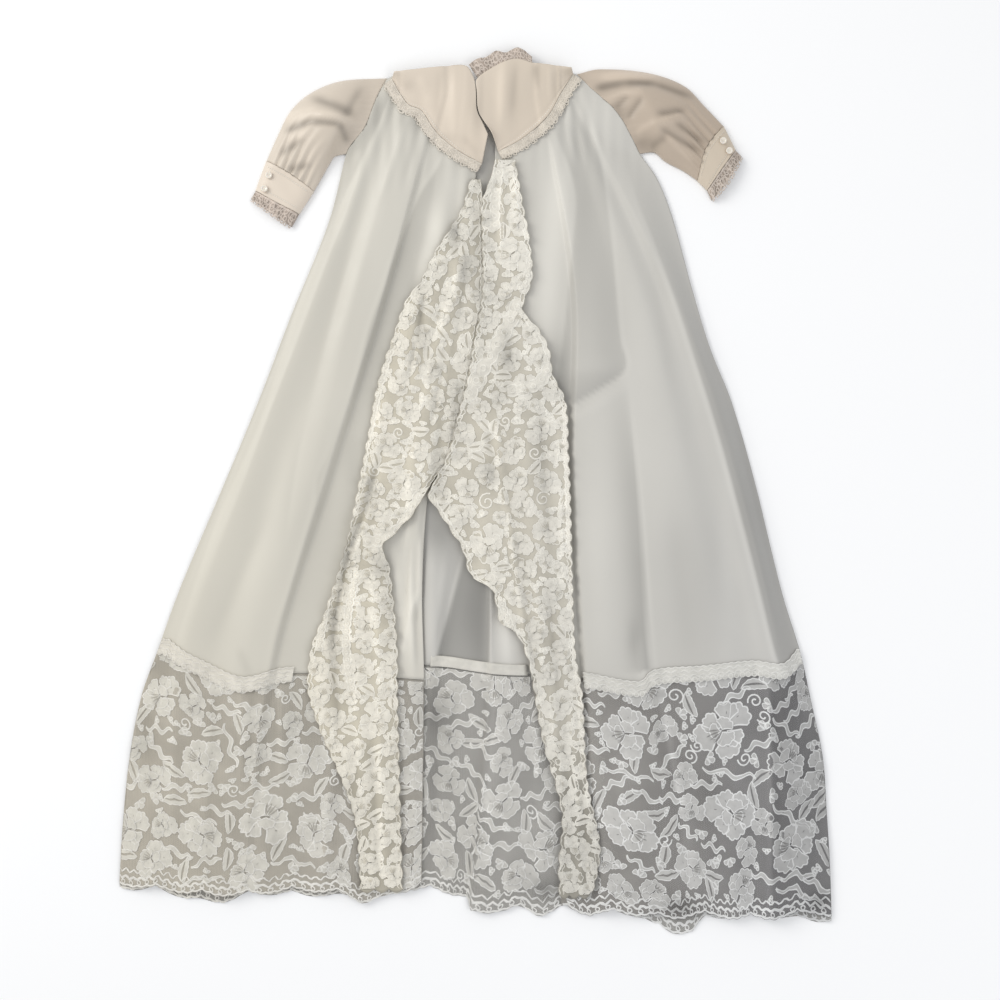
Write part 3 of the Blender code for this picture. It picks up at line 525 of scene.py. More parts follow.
COLLAR_CREASES = (
    (-20, 415, -22, 350, 4, 0.8),
    (-34, 418, -38, 372, 4, -0.7),
    (-54, 412, -46, 386, 5, 0.7),
    (-10, 352, 4, 336, 3, -0.8),
    (28, 424, 26, 366, 4, 1.0),
    (42, 424, 38, 376, 4, -1.0),
    (62, 424, 64, 402, 3, -1.2),
    (74, 420, 76, 394, 4, 0.8),
)
LEFT_SLEEVE_CREASES = (
    (-162, 392, -120, 375, 5.0, -2.6),
    (-189, 360, -164, 367, 3.4, -2.6),
    (-164, 367, -133, 364, 3.4, -2.8),
    (-133, 364, -128, 349, 3.4, -2.2),
    (-194, 337, -171, 350, 4.0, -2.2),
    (-188, 321, -164, 325, 3.6, -1.8),
    (-160, 375, -122, 367, 3.4, 1.8),
    (-188, 374, -160, 377, 4.5, 1.6),
    (-184, 349, -165, 357, 4.0, 1.6),
    (-114, 402, -128, 372, 4.0, -1.4),
)
RIGHT_SLEEVE_CREASES = (
    (122, 403, 148, 407, 4.4, -3.2),
    (148, 407, 178, 406, 4.4, -3.2),
    (178, 406, 216, 394, 4.0, -2.6),
    (128, 388, 146, 395, 3.0, 1.6),
    (146, 395, 166, 397, 3.0, 1.6),
    (141, 382, 152, 394, 3.0, -1.4),
    (153, 373, 166, 390, 3.0, -2.0),
    (164, 357, 186, 365, 4.5, 2.6),
    (186, 365, 206, 372, 4.0, 2.2),
    (182, 374, 209, 379, 3.4, -2.4),
    (183, 361, 225, 339, 3.0, -2.2),
    (200, 366, 230, 347, 3.0, -2.0),
    (192, 352, 216, 332, 2.6, 1.6),
    (130, 414, 180, 415, 5.0, 1.6),
    (176, 344, 190, 352, 4.0, -1.8),
)


def smooth(rows, key):
    """Reads the curve through (key, value) rows, whose keys rise, and holds its ends."""
    if key <= rows[0][0]:
        return rows[0][1]
    if key >= rows[-1][0]:
        return rows[-1][1]
    i = next(n for n in range(len(rows) - 1) if key <= rows[n + 1][0])
    before, here, there, after = rows[max(i - 1, 0)], rows[i], rows[i + 1], rows[min(i + 2, len(rows) - 1)]
    span = there[0] - here[0]
    t = (key - here[0]) / span
    leave = (there[1] - before[1]) / (there[0] - before[0]) * span
    arrive = (after[1] - here[1]) / (after[0] - here[0]) * span
    rise = t * t * (3 - 2 * t)
    return (
        here[1] + (there[1] - here[1]) * rise + leave * (t - 2 * t * t + t**3) + arrive * (t**3 - t * t)
    )


def clamp(value, low, high):
    return min(max(value, low), high)


def straight(places, values, key):
    """Reads values given at falling places, straight between them."""
    for i in range(len(places) - 1):
        if key >= places[i + 1]:
            t = clamp((places[i] - key) / (places[i] - places[i + 1]), 0, 1)
            return values[i] + (values[i + 1] - values[i]) * t
    return values[-1]


def ease(t):
    """Goes from 0 to 1 with level ends."""
    t = clamp(t, 0, 1)
    return t * t * (3 - 2 * t)


def along(points, t):
    """The point at the fraction t of a soft curve through points."""
    lengths = [0.0]
    for a, b in zip(points, points[1:]):
        lengths.append(lengths[-1] + math.dist(a, b))
    key = t * lengths[-1]
    return tuple(smooth(tuple(zip(lengths, [p[axis] for p in points])), key) for axis in (0, 1))


def curve_length(points, parts):
    return sum(math.dist(along(points, n / parts), along(points, (n + 1) / parts)) for n in range(parts))


def outline(rows):
    return lambda y: smooth(rows, y)


def armhole_rise(shoulder_y):
    """The front's lift along the armhole, where it meets the rounded sleeve."""
    def height(y):
        t = (y - UNDERARM_Y) / (shoulder_y - UNDERARM_Y)
        return ARMHOLE_RISE * math.sin(math.pi * clamp(t, 0, 1))
    return height


def fold_lines(table, x_at, height_at):
    """One (X at Y, height at Y) pair of functions for each row of a fold table."""
    lines = []
    for _, xs, heights in table:
        rows = tuple(sorted(zip(x_at, xs)))
        lines.append((
            lambda y, rows=rows: smooth(rows, y),
            lambda y, heights=heights: straight(height_at, heights, y),
        ))
    return lines


def level(height):
    return lambda y: height


LEFT_LINES = (
    [(outline(LEFT_SIDE), armhole_rise(LEFT_SHOULDER_Y))]
    + fold_lines(LEFT_FOLDS, FOLD_X_AT, FOLD_HEIGHT_AT)
    + [(outline(LEFT_OPENING), level(OPENING_LIFT))]
)
RIGHT_LINES = (
    [(outline(RIGHT_OPENING), level(OPENING_LIFT))]
    + fold_lines(RIGHT_FOLDS, FOLD_X_AT, FOLD_HEIGHT_AT)
    + [(outline(RIGHT_SIDE), armhole_rise(RIGHT_SHOULDER_Y))]
)
GAP_LINES = fold_lines(GAP_FOLDS, GAP_AT, GAP_AT)
BACK_LINES = [(outline(LEFT_SIDE), level(0.0))] + GAP_LINES + [(outline(RIGHT_SIDE), level(0.0))]
TOP_STATION = 400.0
SEAM_STATION = -175.0
HEM_STATION = -420.0


def x_across(lines, s, y):
    """The X at Y = y of the place s, which counts the lines from the first."""
    i = min(int(s), len(lines) - 2)
    a, b = lines[i][0](y), lines[i + 1][0](y)
    return a + (b - a) * (s - i)


def fold_row(lines, xs, y):
    """The heights of folds at Y = y over all xs, soft between one line and the next."""
    places = np.maximum.accumulate([line[0](y) for line in lines])
    heights = np.array([line[1](y) for line in lines])
    i = np.clip(np.searchsorted(places, xs) - 1, 0, len(lines) - 2)
    t = np.clip((xs - places[i]) / np.maximum(places[i + 1] - places[i], 0.01), 0, 1)
    return heights[i] + (heights[i + 1] - heights[i]) * t * t * (3 - 2 * t)


MAP_STEP = 1.25
MAP_X = np.arange(-380.0, 380.1, MAP_STEP)
MAP_Y = np.arange(-457.5, 457.6, MAP_STEP)


class Relief:
    """Heights over the whole gown, read between the points of a fine grid."""

    def __init__(self, heights):
        self.rows = heights.tolist()

    def __call__(self, x, y):
        u = (x - MAP_X[0]) / MAP_STEP
        v = (y - MAP_Y[0]) / MAP_STEP
        i, j = int(u), int(v)
        u -= i
        v -= j
        low, high = self.rows[j], self.rows[j + 1]
        return (low[i] * (1 - u) + low[i + 1] * u) * (1 - v) + (high[i] * (1 - u) + high[i + 1] * u) * v


def relief_maps():
    """The lie of the back, the underside of the fronts, and the lowest lie for a piece on the fronts."""
    back = np.array([fold_row(BACK_LINES, MAP_X, y) for y in MAP_Y])
    left = np.array([fold_row(LEFT_LINES, MAP_X, y) for y in MAP_Y])
    right = np.array([fold_row(RIGHT_LINES, MAP_X, y) for y in MAP_Y])
    middle = np.array([(LEFT_LINES[-1][0](y) + RIGHT_LINES[0][0](y)) / 2 for y in MAP_Y])
    lift = np.where(MAP_X[None, :] < middle[:, None], left, right)
    under = SATIN + RESTING_GAP + back + lift
    reach = round(SPAN / MAP_STEP)
    high = under
    for down in (-reach, 0, reach):
        for over in (-reach, 0, reach):
            high = np.maximum(high, np.roll(under, (down, over), (0, 1)))
    return Relief(back), Relief(lift), Relief(under), Relief(RESTING_GAP + SATIN + high)


back_height, front_height, front_under, over_fronts = relief_maps()


def fan(lines, top, foot):
    """Lays a panel out between its fold lines: s runs across and t down."""
    def place(s, t):
        y0 = top(s)
        y = y0 + (foot(s) - y0) * t
        return x_across(lines, s, y), y
    return place


def edge_by_x(rows, lines, station):
    """An end of a panel that is given as (X, Y) rows, read where each place crosses the station."""
    return lambda s: smooth(rows, x_across(lines, s, station))


def scallop(x):
    """How far the scallops and the small picots of a lace edge hang down at x."""
    return (
        SCALLOP_DEPTH * abs(math.sin(math.pi * x / SCALLOP_PITCH))
        + PICOT_DEPTH * abs(math.sin(math.pi * x / PICOT_PITCH))
    )


def strip(first, second):
    """Lays a piece out between two edges: s runs along them and t across."""
    def place(s, t):
        a, b = along(first, s), along(second, s)
        return a[0] + (b[0] - a[0]) * t, a[1] + (b[1] - a[1]) * t
    return place


def steps(count, start=0.0, end=1.0):
    return [start + (end - start) * n / count for n in range(count + 1)]


def soft(t):
    t = np.clip(t, 0, 1)
    return t * t * (3 - 2 * t)


# Shade for each millimetre of height, and its limits
BODY_PER_MM = 0.05
RUFFLE_PER_MM = 0.06
COLLAR_PER_MM = 0.08
SLEEVE_PER_MM = 0.15
TROUGH_SHADE = -0.45
RIDGE_LIGHT = 0.10
# The light line along the upper edge of a lap
LAP_LIGHT = 0.3
LAP_LIGHT_AWAY = 4.5
LAP_LIGHT_WIDE = 2.5
LAP_EDGE = 2.0


def crease_heights(table):
    """The heights that soft creases add over the whole gown."""
    x, y = np.meshgrid(MAP_X, MAP_Y)
    total = np.zeros_like(x)
    for x0, y0, x1, y1, width, height in table:
        run, rise = x1 - x0, y1 - y0
        t = ((x - x0) * run + (y - y0) * rise) / (run * run + rise * rise)
        away = np.hypot(x - x0 - run * t, y - y0 - rise * t)
        taper = soft((t + 0.2) / 0.45) * soft((1.2 - t) / 0.45)
        total += height * taper * np.exp(-((away / width) ** 2))
    return total


def shade_map(spots, laps=(), heights=0.0, per_mm=BODY_PER_MM):
    """The light that the cloth keeps: less in spots, beside laps and in troughs, and more on ridges."""
    x, y = np.meshgrid(MAP_X, MAP_Y)
    kept = 1 + np.clip(per_mm * heights, TROUGH_SHADE, RIDGE_LIGHT)
    for spot_x, spot_y, wide, tall, taken in spots:
        kept = kept * (1 - taken * np.exp(-(((x - spot_x) / wide) ** 2) - ((y - spot_y) / tall) ** 2))
    for hand, reach, *rows in laps:
        fold = np.array([smooth([row[:2] for row in rows], level) for level in MAP_Y])
        taken = np.interp(MAP_Y, [row[0] for row in rows], [row[2] for row in rows], left=0, right=0)
        slope = np.hypot(1, np.gradient(fold, MAP_STEP))
        away = (x - fold[:, None]) * hand / slope[:, None]
        shadow = np.exp(-((away / np.where(away > 0, reach, LAP_EDGE)) ** 2))
        edge = LAP_LIGHT * np.exp(-(((away + LAP_LIGHT_AWAY) / LAP_LIGHT_WIDE) ** 2))
        kept = kept * (1 - taken[:, None] * (shadow - edge))
    return Relief(kept)


def rumple(x, y):
    """The slight unevenness of washed satin, under half a millimetre."""
    return (
        0.22 * math.sin(x / 17.0 + 1.7 * math.sin(y / 61.0))
        + 0.16 * math.sin(x / 7.3 - y / 83.0 + 0.9)
        + 0.12 * math.sin(y / 29.0 + x / 41.0 + 2.0)
    )


# Materials


# The left and right colours of a material hold beyond these places
COLOUR_LEFT = -0.3
COLOUR_RIGHT = 0.3


class Shader:
    """A material's node tree, with short ways to add nodes."""

    def __init__(self, name, roughness, **constants):
        self.material = bpy.data.materials.new(name)
        self.material.use_nodes = True
        self.tree = self.material.node_tree
        self.surface = self.tree.nodes["Principled BSDF"]
        self.surface.inputs["Roughness"].default_value = roughness
        for socket, value in constants.items():
            self.surface.inputs[socket.replace("_", " ")].default_value = value
        self.place = self.tree.nodes.new("ShaderNodeTexCoord").outputs["Object"]

    def node(self, kind, inputs=(), **settings):
        made = self.tree.nodes.new(kind)
        for key, value in settings.items():
            setattr(made, key, value)
        for key, value in dict(inputs).items():
            if hasattr(value, "is_linked"):
                self.tree.links.new(value, made.inputs[key])
            else:
                made.inputs[key].default_value = value
        return made

    def math(self, operation, first, second=0.0):
        return self.node("ShaderNodeMath", {0: first, 1: second}, operation=operation).outputs[0]

    def between(self, value, low, high, to_low=0.0, to_high=1.0):
        inputs = {"Value": value, "From Min": low, "From Max": high, "To Min": to_low, "To Max": to_high}
        return self.node("ShaderNodeMapRange", inputs).outputs[0]

    def noise(self, scale, detail=2.0, distortion=0.0):
        inputs = {"Vector": self.place, "Scale": scale, "Detail": detail, "Distortion": distortion}
        return self.node("ShaderNodeTexNoise", inputs).outputs["Fac"]

    def threads(self, pitch, turn, thickness):
        """A set of straight threads in plan: 1 on a thread and 0 between, softened at its edges."""
        split = self.node("ShaderNodeSeparateXYZ", {0: self.place})
        across = self.math("MULTIPLY", split.outputs["X"], math.cos(turn))
        across = self.math("ADD", across, self.math("MULTIPLY", split.outputs["Y"], math.sin(turn)))
        wave = self.math("SINE", self.math("MULTIPLY", across, math.pi / pitch))
        return self.between(self.math("ABSOLUTE", wave), thickness + 0.12, thickness)

    def colour(self, left, right, mottle, scale):
        """A colour that turns from left to right across the gown, mottled, with the shade of the points."""
        split = self.node("ShaderNodeSeparateXYZ", {0: self.place})
        # Painted shade in part: most colours darken from left to right, as the light falls from the left
        across = self.between(split.outputs["X"], COLOUR_LEFT, COLOUR_RIGHT)
        made = self.node("ShaderNodeValToRGB", {"Fac": across})
        for element, tint in zip(made.color_ramp.elements, (left, right)):
            element.color = (*tint, 1)
        shade = self.node("ShaderNodeAttribute", attribute_name="shade").outputs["Fac"]
        uneven = self.between(self.noise(scale, 3.0), 0.3, 0.7, 1 - mottle, 1 + mottle)
        both = self.math("MULTIPLY", shade, uneven)
        tinted = self.node(
            "ShaderNodeVectorMath", {0: made.outputs["Color"], "Scale": both}, operation="SCALE"
        )
        self.link(tinted.outputs[0], "Base Color")

    def bump(self, height, strength, distance):
        made = self.node("ShaderNodeBump", {"Height": height, "Strength": strength, "Distance": distance})
        self.link(made.outputs["Normal"], "Normal")

    def link(self, value, socket):
        self.tree.links.new(value, self.surface.inputs[socket])


def satin(name, left, right, roughness=0.42):
    """Close satin weave with faint slubs and an uneven sheen."""
    shader = Shader(name, roughness, Sheen_Weight=0.2, Sheen_Roughness=0.5, Specular_IOR_Level=0.35)
    shader.colour(left, right, 0.02, 9.0)
    warp = shader.threads(0.0005, 0.0, 0.5)
    weft = shader.threads(0.0007, math.pi / 2, 0.4)
    weave = shader.math("ADD", shader.math("MULTIPLY", warp, 0.6), shader.math("MULTIPLY", weft, 0.4))
    shader.bump(shader.math("ADD", weave, shader.noise(900.0)), 0.12, 0.00012)
    shader.link(shader.between(shader.noise(60.0), 0.0, 1.0, roughness - 0.08, roughness + 0.08), "Roughness")
    return shader.material


def net(name, left, right, pitch, thickness):
    """Fine six-sided net: three sets of threads, and nothing between them."""
    shader = Shader(name, 0.85, Specular_IOR_Level=0.2)
    shader.colour(left, right, 0.10, 22.0)
    cover = shader.threads(pitch, 0.0, thickness)
    for turn in (math.pi / 3, -math.pi / 3):
        cover = shader.math("MAXIMUM", cover, shader.threads(pitch, turn, thickness))
    shader.link(cover, "Alpha")
    shader.bump(cover, 0.3, 0.0002)
    return shader.material


def worked(name, left, right, strength, mottle=0.08):
    """Closely worked thread, as in the petals and cords of lace."""
    shader = Shader(name, 0.8, Sheen_Weight=0.15, Specular_IOR_Level=0.25)
    shader.colour(left, right, mottle, 110.0)
    stitch = shader.math("ADD", shader.threads(0.0008, 0.6, 0.5), shader.threads(0.0009, -0.9, 0.5))
    shader.bump(shader.math("ADD", stitch, shader.noise(1500.0)), strength, 0.0003)
    return shader.material


# Most materials are darker in their second, right-hand colour: in part painted shade, as the light falls from
# the left, and in part a turn of tone from cream to grey
SATIN_FRONT = satin("satin", (0.62, 0.588, 0.505), (0.525, 0.513, 0.485))
# The back's inside is coloured darker than the fronts: painted shade for the recess between the fronts, where
# it shows
SATIN_INSIDE = satin("satin_inside", (0.46, 0.45, 0.42), (0.50, 0.48, 0.44), 0.5)
SATIN_IVORY = satin("satin_ivory", (0.73, 0.645, 0.55), (0.59, 0.505, 0.40))
SATIN_SLEEVE = satin("satin_sleeve", (0.66, 0.59, 0.50), (0.445, 0.36, 0.28))
# The nets are coloured darker than their worked thread: painted shade for the shaded ground seen through
# them. The back's net, seen only in the front opening, is darkest on the left, as painted shadow
NET_HEM = net("net_hem", (0.50, 0.46, 0.385), (0.235, 0.23, 0.23), 0.0016, 0.55)
NET_BACK = net("net_back", (0.34, 0.32, 0.285), (0.43, 0.42, 0.40), 0.0016, 0.50)
NET_RUFFLE = net("net_ruffle", (0.61, 0.555, 0.43), (0.50, 0.482, 0.44), 0.0014, 0.75)
PETAL_HEM = worked("petal_hem", (0.68, 0.65, 0.57), (0.50, 0.495, 0.485), 0.5)
CORD_HEM = worked("cord_hem", (0.84, 0.81, 0.74), (0.80, 0.80, 0.79), 0.6)
# EYE_HEM and EYE_RUFFLE are dark: painted shade in the slits of the roses
EYE_HEM = worked("eye_hem", (0.44, 0.41, 0.35), (0.25, 0.245, 0.24), 0.3)
PETAL_RUFFLE = worked("petal_ruffle", (0.84, 0.785, 0.66), (0.755, 0.738, 0.69), 0.5)
CORD_RUFFLE = worked("cord_ruffle", (0.97, 0.92, 0.80), (0.93, 0.91, 0.85), 0.6)
EYE_RUFFLE = worked("eye_ruffle", (0.62, 0.565, 0.45), (0.55, 0.53, 0.47), 0.3)
# The grounds under the looped lace, TRIM_GROUND and COLLAR_GROUND, are darker than their loops: painted shade
# in the openings between them
TRIM = worked("trim", (0.72, 0.62, 0.54), (0.64, 0.56, 0.49), 0.6, 0.14)
TRIM_GROUND = worked("trim_ground", (0.50, 0.42, 0.36), (0.40, 0.335, 0.28), 0.4, 0.3)
COLLAR_TRIM = worked("collar_trim", (0.80, 0.73, 0.64), (0.76, 0.70, 0.60), 0.6, 0.10)
COLLAR_GROUND = worked("collar_ground", (0.68, 0.615, 0.53), (0.62, 0.565, 0.48), 0.4, 0.14)
BRAID = worked("braid", (0.80, 0.76, 0.68), (0.80, 0.79, 0.75), 0.6)
TAPE = worked("tape", (0.74, 0.70, 0.61), (0.66, 0.65, 0.61), 0.5)
THREAD = worked("thread", (0.80, 0.77, 0.70), (0.76, 0.72, 0.64), 0.3)


def pearl():
    shader = Shader("pearl", 0.25, Coat_Weight=0.5, Coat_Roughness=0.15, Subsurface_Weight=0.05)
    shader.colour((0.80, 0.73, 0.63), (0.78, 0.71, 0.62), 0.05, 300.0)
    return shader.material


PEARL = pearl()


# Meshes


def add_mesh(name, points, faces, materials, kinds=None, shade=None):
    """Makes an object from points in millimetres; shade(x, y) darkens the cloth under 1."""
    mesh = bpy.data.meshes.new(name)
    mesh.from_pydata([(x * MM, y * MM, z * MM) for x, y, z in points], [], faces)
    for material in materials:
        mesh.materials.append(material)
    if kinds:
        mesh.polygons.foreach_set("material_index", kinds)
    shades = mesh.attributes.new("shade", "FLOAT", "POINT")
    shades.data.foreach_set("value", [shade(x, y) if shade else 1.0 for x, y, _ in points])
    mesh.shade_smooth()
    made = bpy.data.objects.new(name, mesh)
    bpy.context.scene.collection.objects.link(made)
    return made


def dress(piece, slot, *nodes):
    """The piece rides on the one body and stands for the nodes; the slot is not used."""
    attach(piece, "root")
    if nodes:
        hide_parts(*nodes)
    return piece


def thicken(piece, thickness):
    shell = piece.modifiers.new("shell", "SOLIDIFY")
    shell.thickness = thickness * MM
    shell.offset = 0.0
    shell.use_quality_normals = True
    return piece


def sheet_mesh(name, place, height, across, down, material, thickness, shade=None):
    """A sheet of cloth over a grid: height(x, y, s, t) is its middle surface."""
    points = []
    for t in down:
        for s in across:
            x, y = place(s, t)
            points.append((x, y, height(x, y, s, t)))
    width = len(across)
    faces = [
        (j * width + i, (j + 1) * width + i, (j + 1) * width + i + 1, j * width + i + 1)
        for j in range(len(down) - 1)
        for i in range(width - 1)
    ]
    return thicken(add_mesh(name, points, faces, [material], shade=shade), thickness)


def ring_mesh(name, rings, material, thickness, shade=None):
    """An open tube of cloth through rings of points."""
    around = len(rings[0])
    faces = []
    for start in range(0, (len(rings) - 1) * around, around):
        for i in range(around):
            n = (i + 1) % around
            faces.append((start + i, start + n, start + around + n, start + around + i))
    points = [point for ring in rings for point in ring]
    return thicken(add_mesh(name, points, faces, [material], shade=shade), thickness)


def turned(a, b, turn):
    """The place at u along and v across from (a, b), in the direction turn."""
    cosine, sine = math.cos(turn), math.sin(turn)
    return lambda u, v: (a + u * cosine - v * sine, b + u * sine + v * cosine)


# A slit of a rose, as parts of its radius: from the middle out, and across
SLIT = ((0.16, 0.0), (0.36, 0.03), (0.62, 0.0), (0.36, -0.03))


class Threads:
    """Worked thread and flowers, laid on a cloth: surface(a, b) gives a point of the cloth."""

    FILL, CORD, EYE = 0, 1, 2

    def __init__(self, surface, shade=None):
        self.surface = surface
        self.shade = shade
        self.points = []
        self.faces = []
        self.kinds = []
        self.taken = []

    def lay(self, a, b, lift):
        x, y, z = self.surface(a, b)
        self.points.append((x, y, z + lift))
        return len(self.points) - 1

    def claim(self, a, b, radius, closeness=0.9):
        """Takes a round place on the cloth, unless another motif has it."""
        for other_a, other_b, other_radius in self.taken:
            if math.hypot(a - other_a, b - other_b) < (radius + other_radius) * closeness:
                return False
        self.taken.append((a, b, radius))
        return True

    def cord(self, path, width, height, lift=0.1, kind=CORD, closed=False):
        """A raised cord along a path of (a, b): flat below and round above."""
        rows = []
        count = len(path)
        for n, (a, b) in enumerate(path):
            ahead = path[(n + 1) % count] if closed else path[min(n + 1, count - 1)]
            behind = path[n - 1] if closed else path[max(n - 1, 0)]
            run, rise = ahead[0] - behind[0], ahead[1] - behind[1]
            length = math.hypot(run, rise) or 1.0
            side_a, side_b = -rise / length * width / 2, run / length * width / 2
            rows.append((
                self.lay(a - side_a, b - side_b, lift),
                self.lay(a, b, lift + height),
                self.lay(a + side_a, b + side_b, lift),
            ))
        pairs = list(zip(rows, rows[1:])) + ([(rows[-1], rows[0])] if closed else [])
        for first, second in pairs:
            for k in (0, 1):
                self.faces.append((first[k], second[k], second[k + 1], first[k + 1]))
                self.kinds.append(kind)

    def fill(self, outer, inner, lift, rise=0.3, kind=FILL, closed=True):
        """Close work between two rings, or two lines, with the same number of places."""
        first = [self.lay(a, b, lift) for a, b in outer]
        second = [self.lay(a, b, lift + rise) for a, b in inner]
        count = len(first)
        for n in range(count if closed else count - 1):
            m = (n + 1) % count
            self.faces.append((first[n], first[m], second[m], second[n]))
            self.kinds.append(kind)

    def slit_in(self, edge, at, middle, long, wide, lift):
        """Close work from an edge in to a narrow slit at middle; edge is in the (u, v) of at."""
        inner = []
        for u, v in edge:
            away = math.hypot(u - middle, v) or 1.0
            inner.append((middle + (u - middle) / away * long, v / away * wide))
        self.fill([at(u, v) for u, v in edge], [at(u, v) for u, v in inner], lift)

    def petal(self, a, b, turn, spread, root, tip, lift, thread):
        """A petal of a rose: close work with a lobed edge and a cord round it."""
        edge = []
        half_count, lobes = (8, 2.0) if tip > 12 else (4, 1.5)
        for n in range(2 * half_count + 1):
            part = n / half_count - 1
            reach = tip * (0.92 - 0.22 * part**4 + 0.08 * abs(math.cos(lobes * math.pi * part)))
            edge.append((reach * math.cos(part * spread), reach * math.sin(part * spread)))
        for side, parts in ((1, (0.6, 0.25)), (0, (0,)), (-1, (0.25, 0.6))):
            for part in parts:
                reach = root + (tip * 0.72 - root) * part
                angle = side * spread * (0.5 + 0.5 * part)
                edge.append((reach * math.cos(angle), reach * math.sin(angle)))
        at = turned(a, b, turn)
        middle = root + (tip - root) * 0.52
        self.slit_in(edge, at, middle, (tip - root) * 0.06, tip * 0.012, lift)
        self.cord([at(u, v) for u, v in edge], thread, 0.4, lift + 0.1, closed=True)

    def rose(self, a, b, radius, turn):
        """An open rose: uneven overlapping petals, small ones in it, and dark slits on one side."""
        thread = max(0.8, 0.05 * radius)
        count = 6 if radius > 21 else 5
        for n in range(count):
            size = radius * (0.88 + 0.16 * math.sin(2.3 * n + 3 * turn))
            self.petal(
                a, b, turn + 2 * math.pi * n / count + 0.2 * math.sin(3 * n + turn),
                math.pi / count * 1.15, radius * 0.12, size, 0.15 + 0.12 * (n % 3), thread,
            )
        for n in range(3):
            self.petal(
                a + radius * 0.12 * math.cos(turn), b + radius * 0.12 * math.sin(turn),
                turn + 0.5 + 2.1 * n, 0.95, radius * 0.05, radius * (0.40 + 0.06 * n), 0.75, thread * 0.8,
            )
        # Dark slits of painted shade, for the openings between the petals
        for n in range(4):
            at = turned(a, b, turn + 0.26 * (n - 1.5))
            slit = [at(radius * u, radius * v) for u, v in SLIT]
            self.fill(slit, [at(radius * 0.36, 0)] * 4, 1.25, 0.05, self.EYE)

    def leaf(self, a, b, turn, length, width):
        """A bent leaf with a toothed edge, slit along its middle."""
        edge = []
        for side in (1, -1):
            for n in range(10):
                part = n / 10 if side > 0 else 1 - n / 10
                tooth = 1 + 0.14 * (n % 2)
                half = side * width * 0.5 * math.sin(math.pi * part) ** 0.7 * tooth
                edge.append((length * (part - 0.5), half + 0.3 * width * math.sin(math.pi * part)))
        at = turned(a, b, turn)
        rim = [at(u, v) for u, v in edge]
        self.fill(rim, [at(0.8 * u, 0.2 * v + 0.24 * width) for u, v in edge], 0.12)
        self.cord(rim, 0.9, 0.35, 0.18, closed=True)

    def ring(self, a, b, radius, width, lift=0.3, kind=CORD):
        path = [
            (a + radius * math.cos(2 * math.pi * n / 9), b + radius * math.sin(2 * math.pi * n / 9))
            for n in range(9)
        ]
        self.cord(path, width, 0.5, lift, kind, closed=True)

    def bud(self, a, b, radius, turn):
        """A small three-lobed bud."""
        for n in (-1, 0, 1):
            self.petal(a, b, turn + 0.95 * n, 0.42, radius * 0.1, radius * (1.0 if n else 1.15), 0.15, 0.9)

    def curl(self, a, b, radius, turn, hand):
        """A tendril that ends in a spiral."""
        path = []
        for n in range(20):
            part = n / 19
            angle = turn + hand * (1 - part) * 2 * math.pi * 1.4
            reach = radius * (0.16 + 0.84 * part)
            path.append((a + reach * math.cos(angle), b + reach * math.sin(angle)))
        self.cord(path, 1.5, 0.5, 0.2)

    def wave(self, start, end, swing, count, width=4.0):
        """A wavy ribbon from start to end: two cords with close work between them."""
        at = turned(*start, math.atan2(end[1] - start[1], end[0] - start[0]))
        length = math.dist(start, end)
        sides = ([], [])
        for n in range(count * 14 + 1):
            part = n / (count * 14)
            away = swing * math.sin(2 * math.pi * count * part)
            thin = width * 0.5 * (0.25 + 0.75 * math.sin(math.pi * part))
            sides[0].append(at(length * part, away + thin))
            sides[1].append(at(length * part, away - thin))
        self.fill(sides[0], sides[1], 0.15, 0.0, closed=False)
        for side in sides:
            self.cord(side, 1.1, 0.45, 0.2)

    def edging(self, path, width, pitch, lift=0.3):
        """A band of close work along a path, lobed along both sides, with a ring in each lobe."""
        length = sum(math.dist(p, q) for p, q in zip(path, path[1:]))
        count = max(2, round(length / pitch))
        steps_each = 6
        sides = ([], [])
        for n in range(count * steps_each + 1):
            part = n / (count * steps_each)
            a, b = along(path, part)
            ahead, behind = along(path, min(part + 0.01, 1)), along(path, max(part - 0.01, 0))
            run, rise = ahead[0] - behind[0], ahead[1] - behind[1]
            away = math.hypot(run, rise) or 1.0
            lobe = width * 0.5 * (0.68 + 0.32 * abs(math.sin(math.pi * n / steps_each)))
            sides[0].append((a - rise / away * lobe, b + run / away * lobe))
            sides[1].append((a + rise / away * lobe, b - run / away * lobe))
        middle = [((p[0] + q[0]) / 2, (p[1] + q[1]) / 2) for p, q in zip(*sides)]
        for side in sides:
            self.fill(side, middle, lift, 0.8, closed=False)
            self.cord(side, 1.5, 0.6, lift + 0.1)
        for n in range(count):
            a, b = middle[n * steps_each + steps_each // 2]
            self.ring(a, b, width * 0.2, 1.1, lift + 0.8)

    def finish(self, name, slot, materials):
        return dress(add_mesh(name, self.points, self.faces, materials, self.kinds, self.shade), slot)


def strew(threads, chance, spot, motifs):
    """Draws places with spot(radius), and lays each motif where no other has the cloth."""
    for radius, tries, closeness, draw in motifs:
        for _ in range(tries):
            place = spot(radius)
            if place and threads.claim(*place, radius, closeness):
                draw(*place, chance.uniform(0, 2 * math.pi))


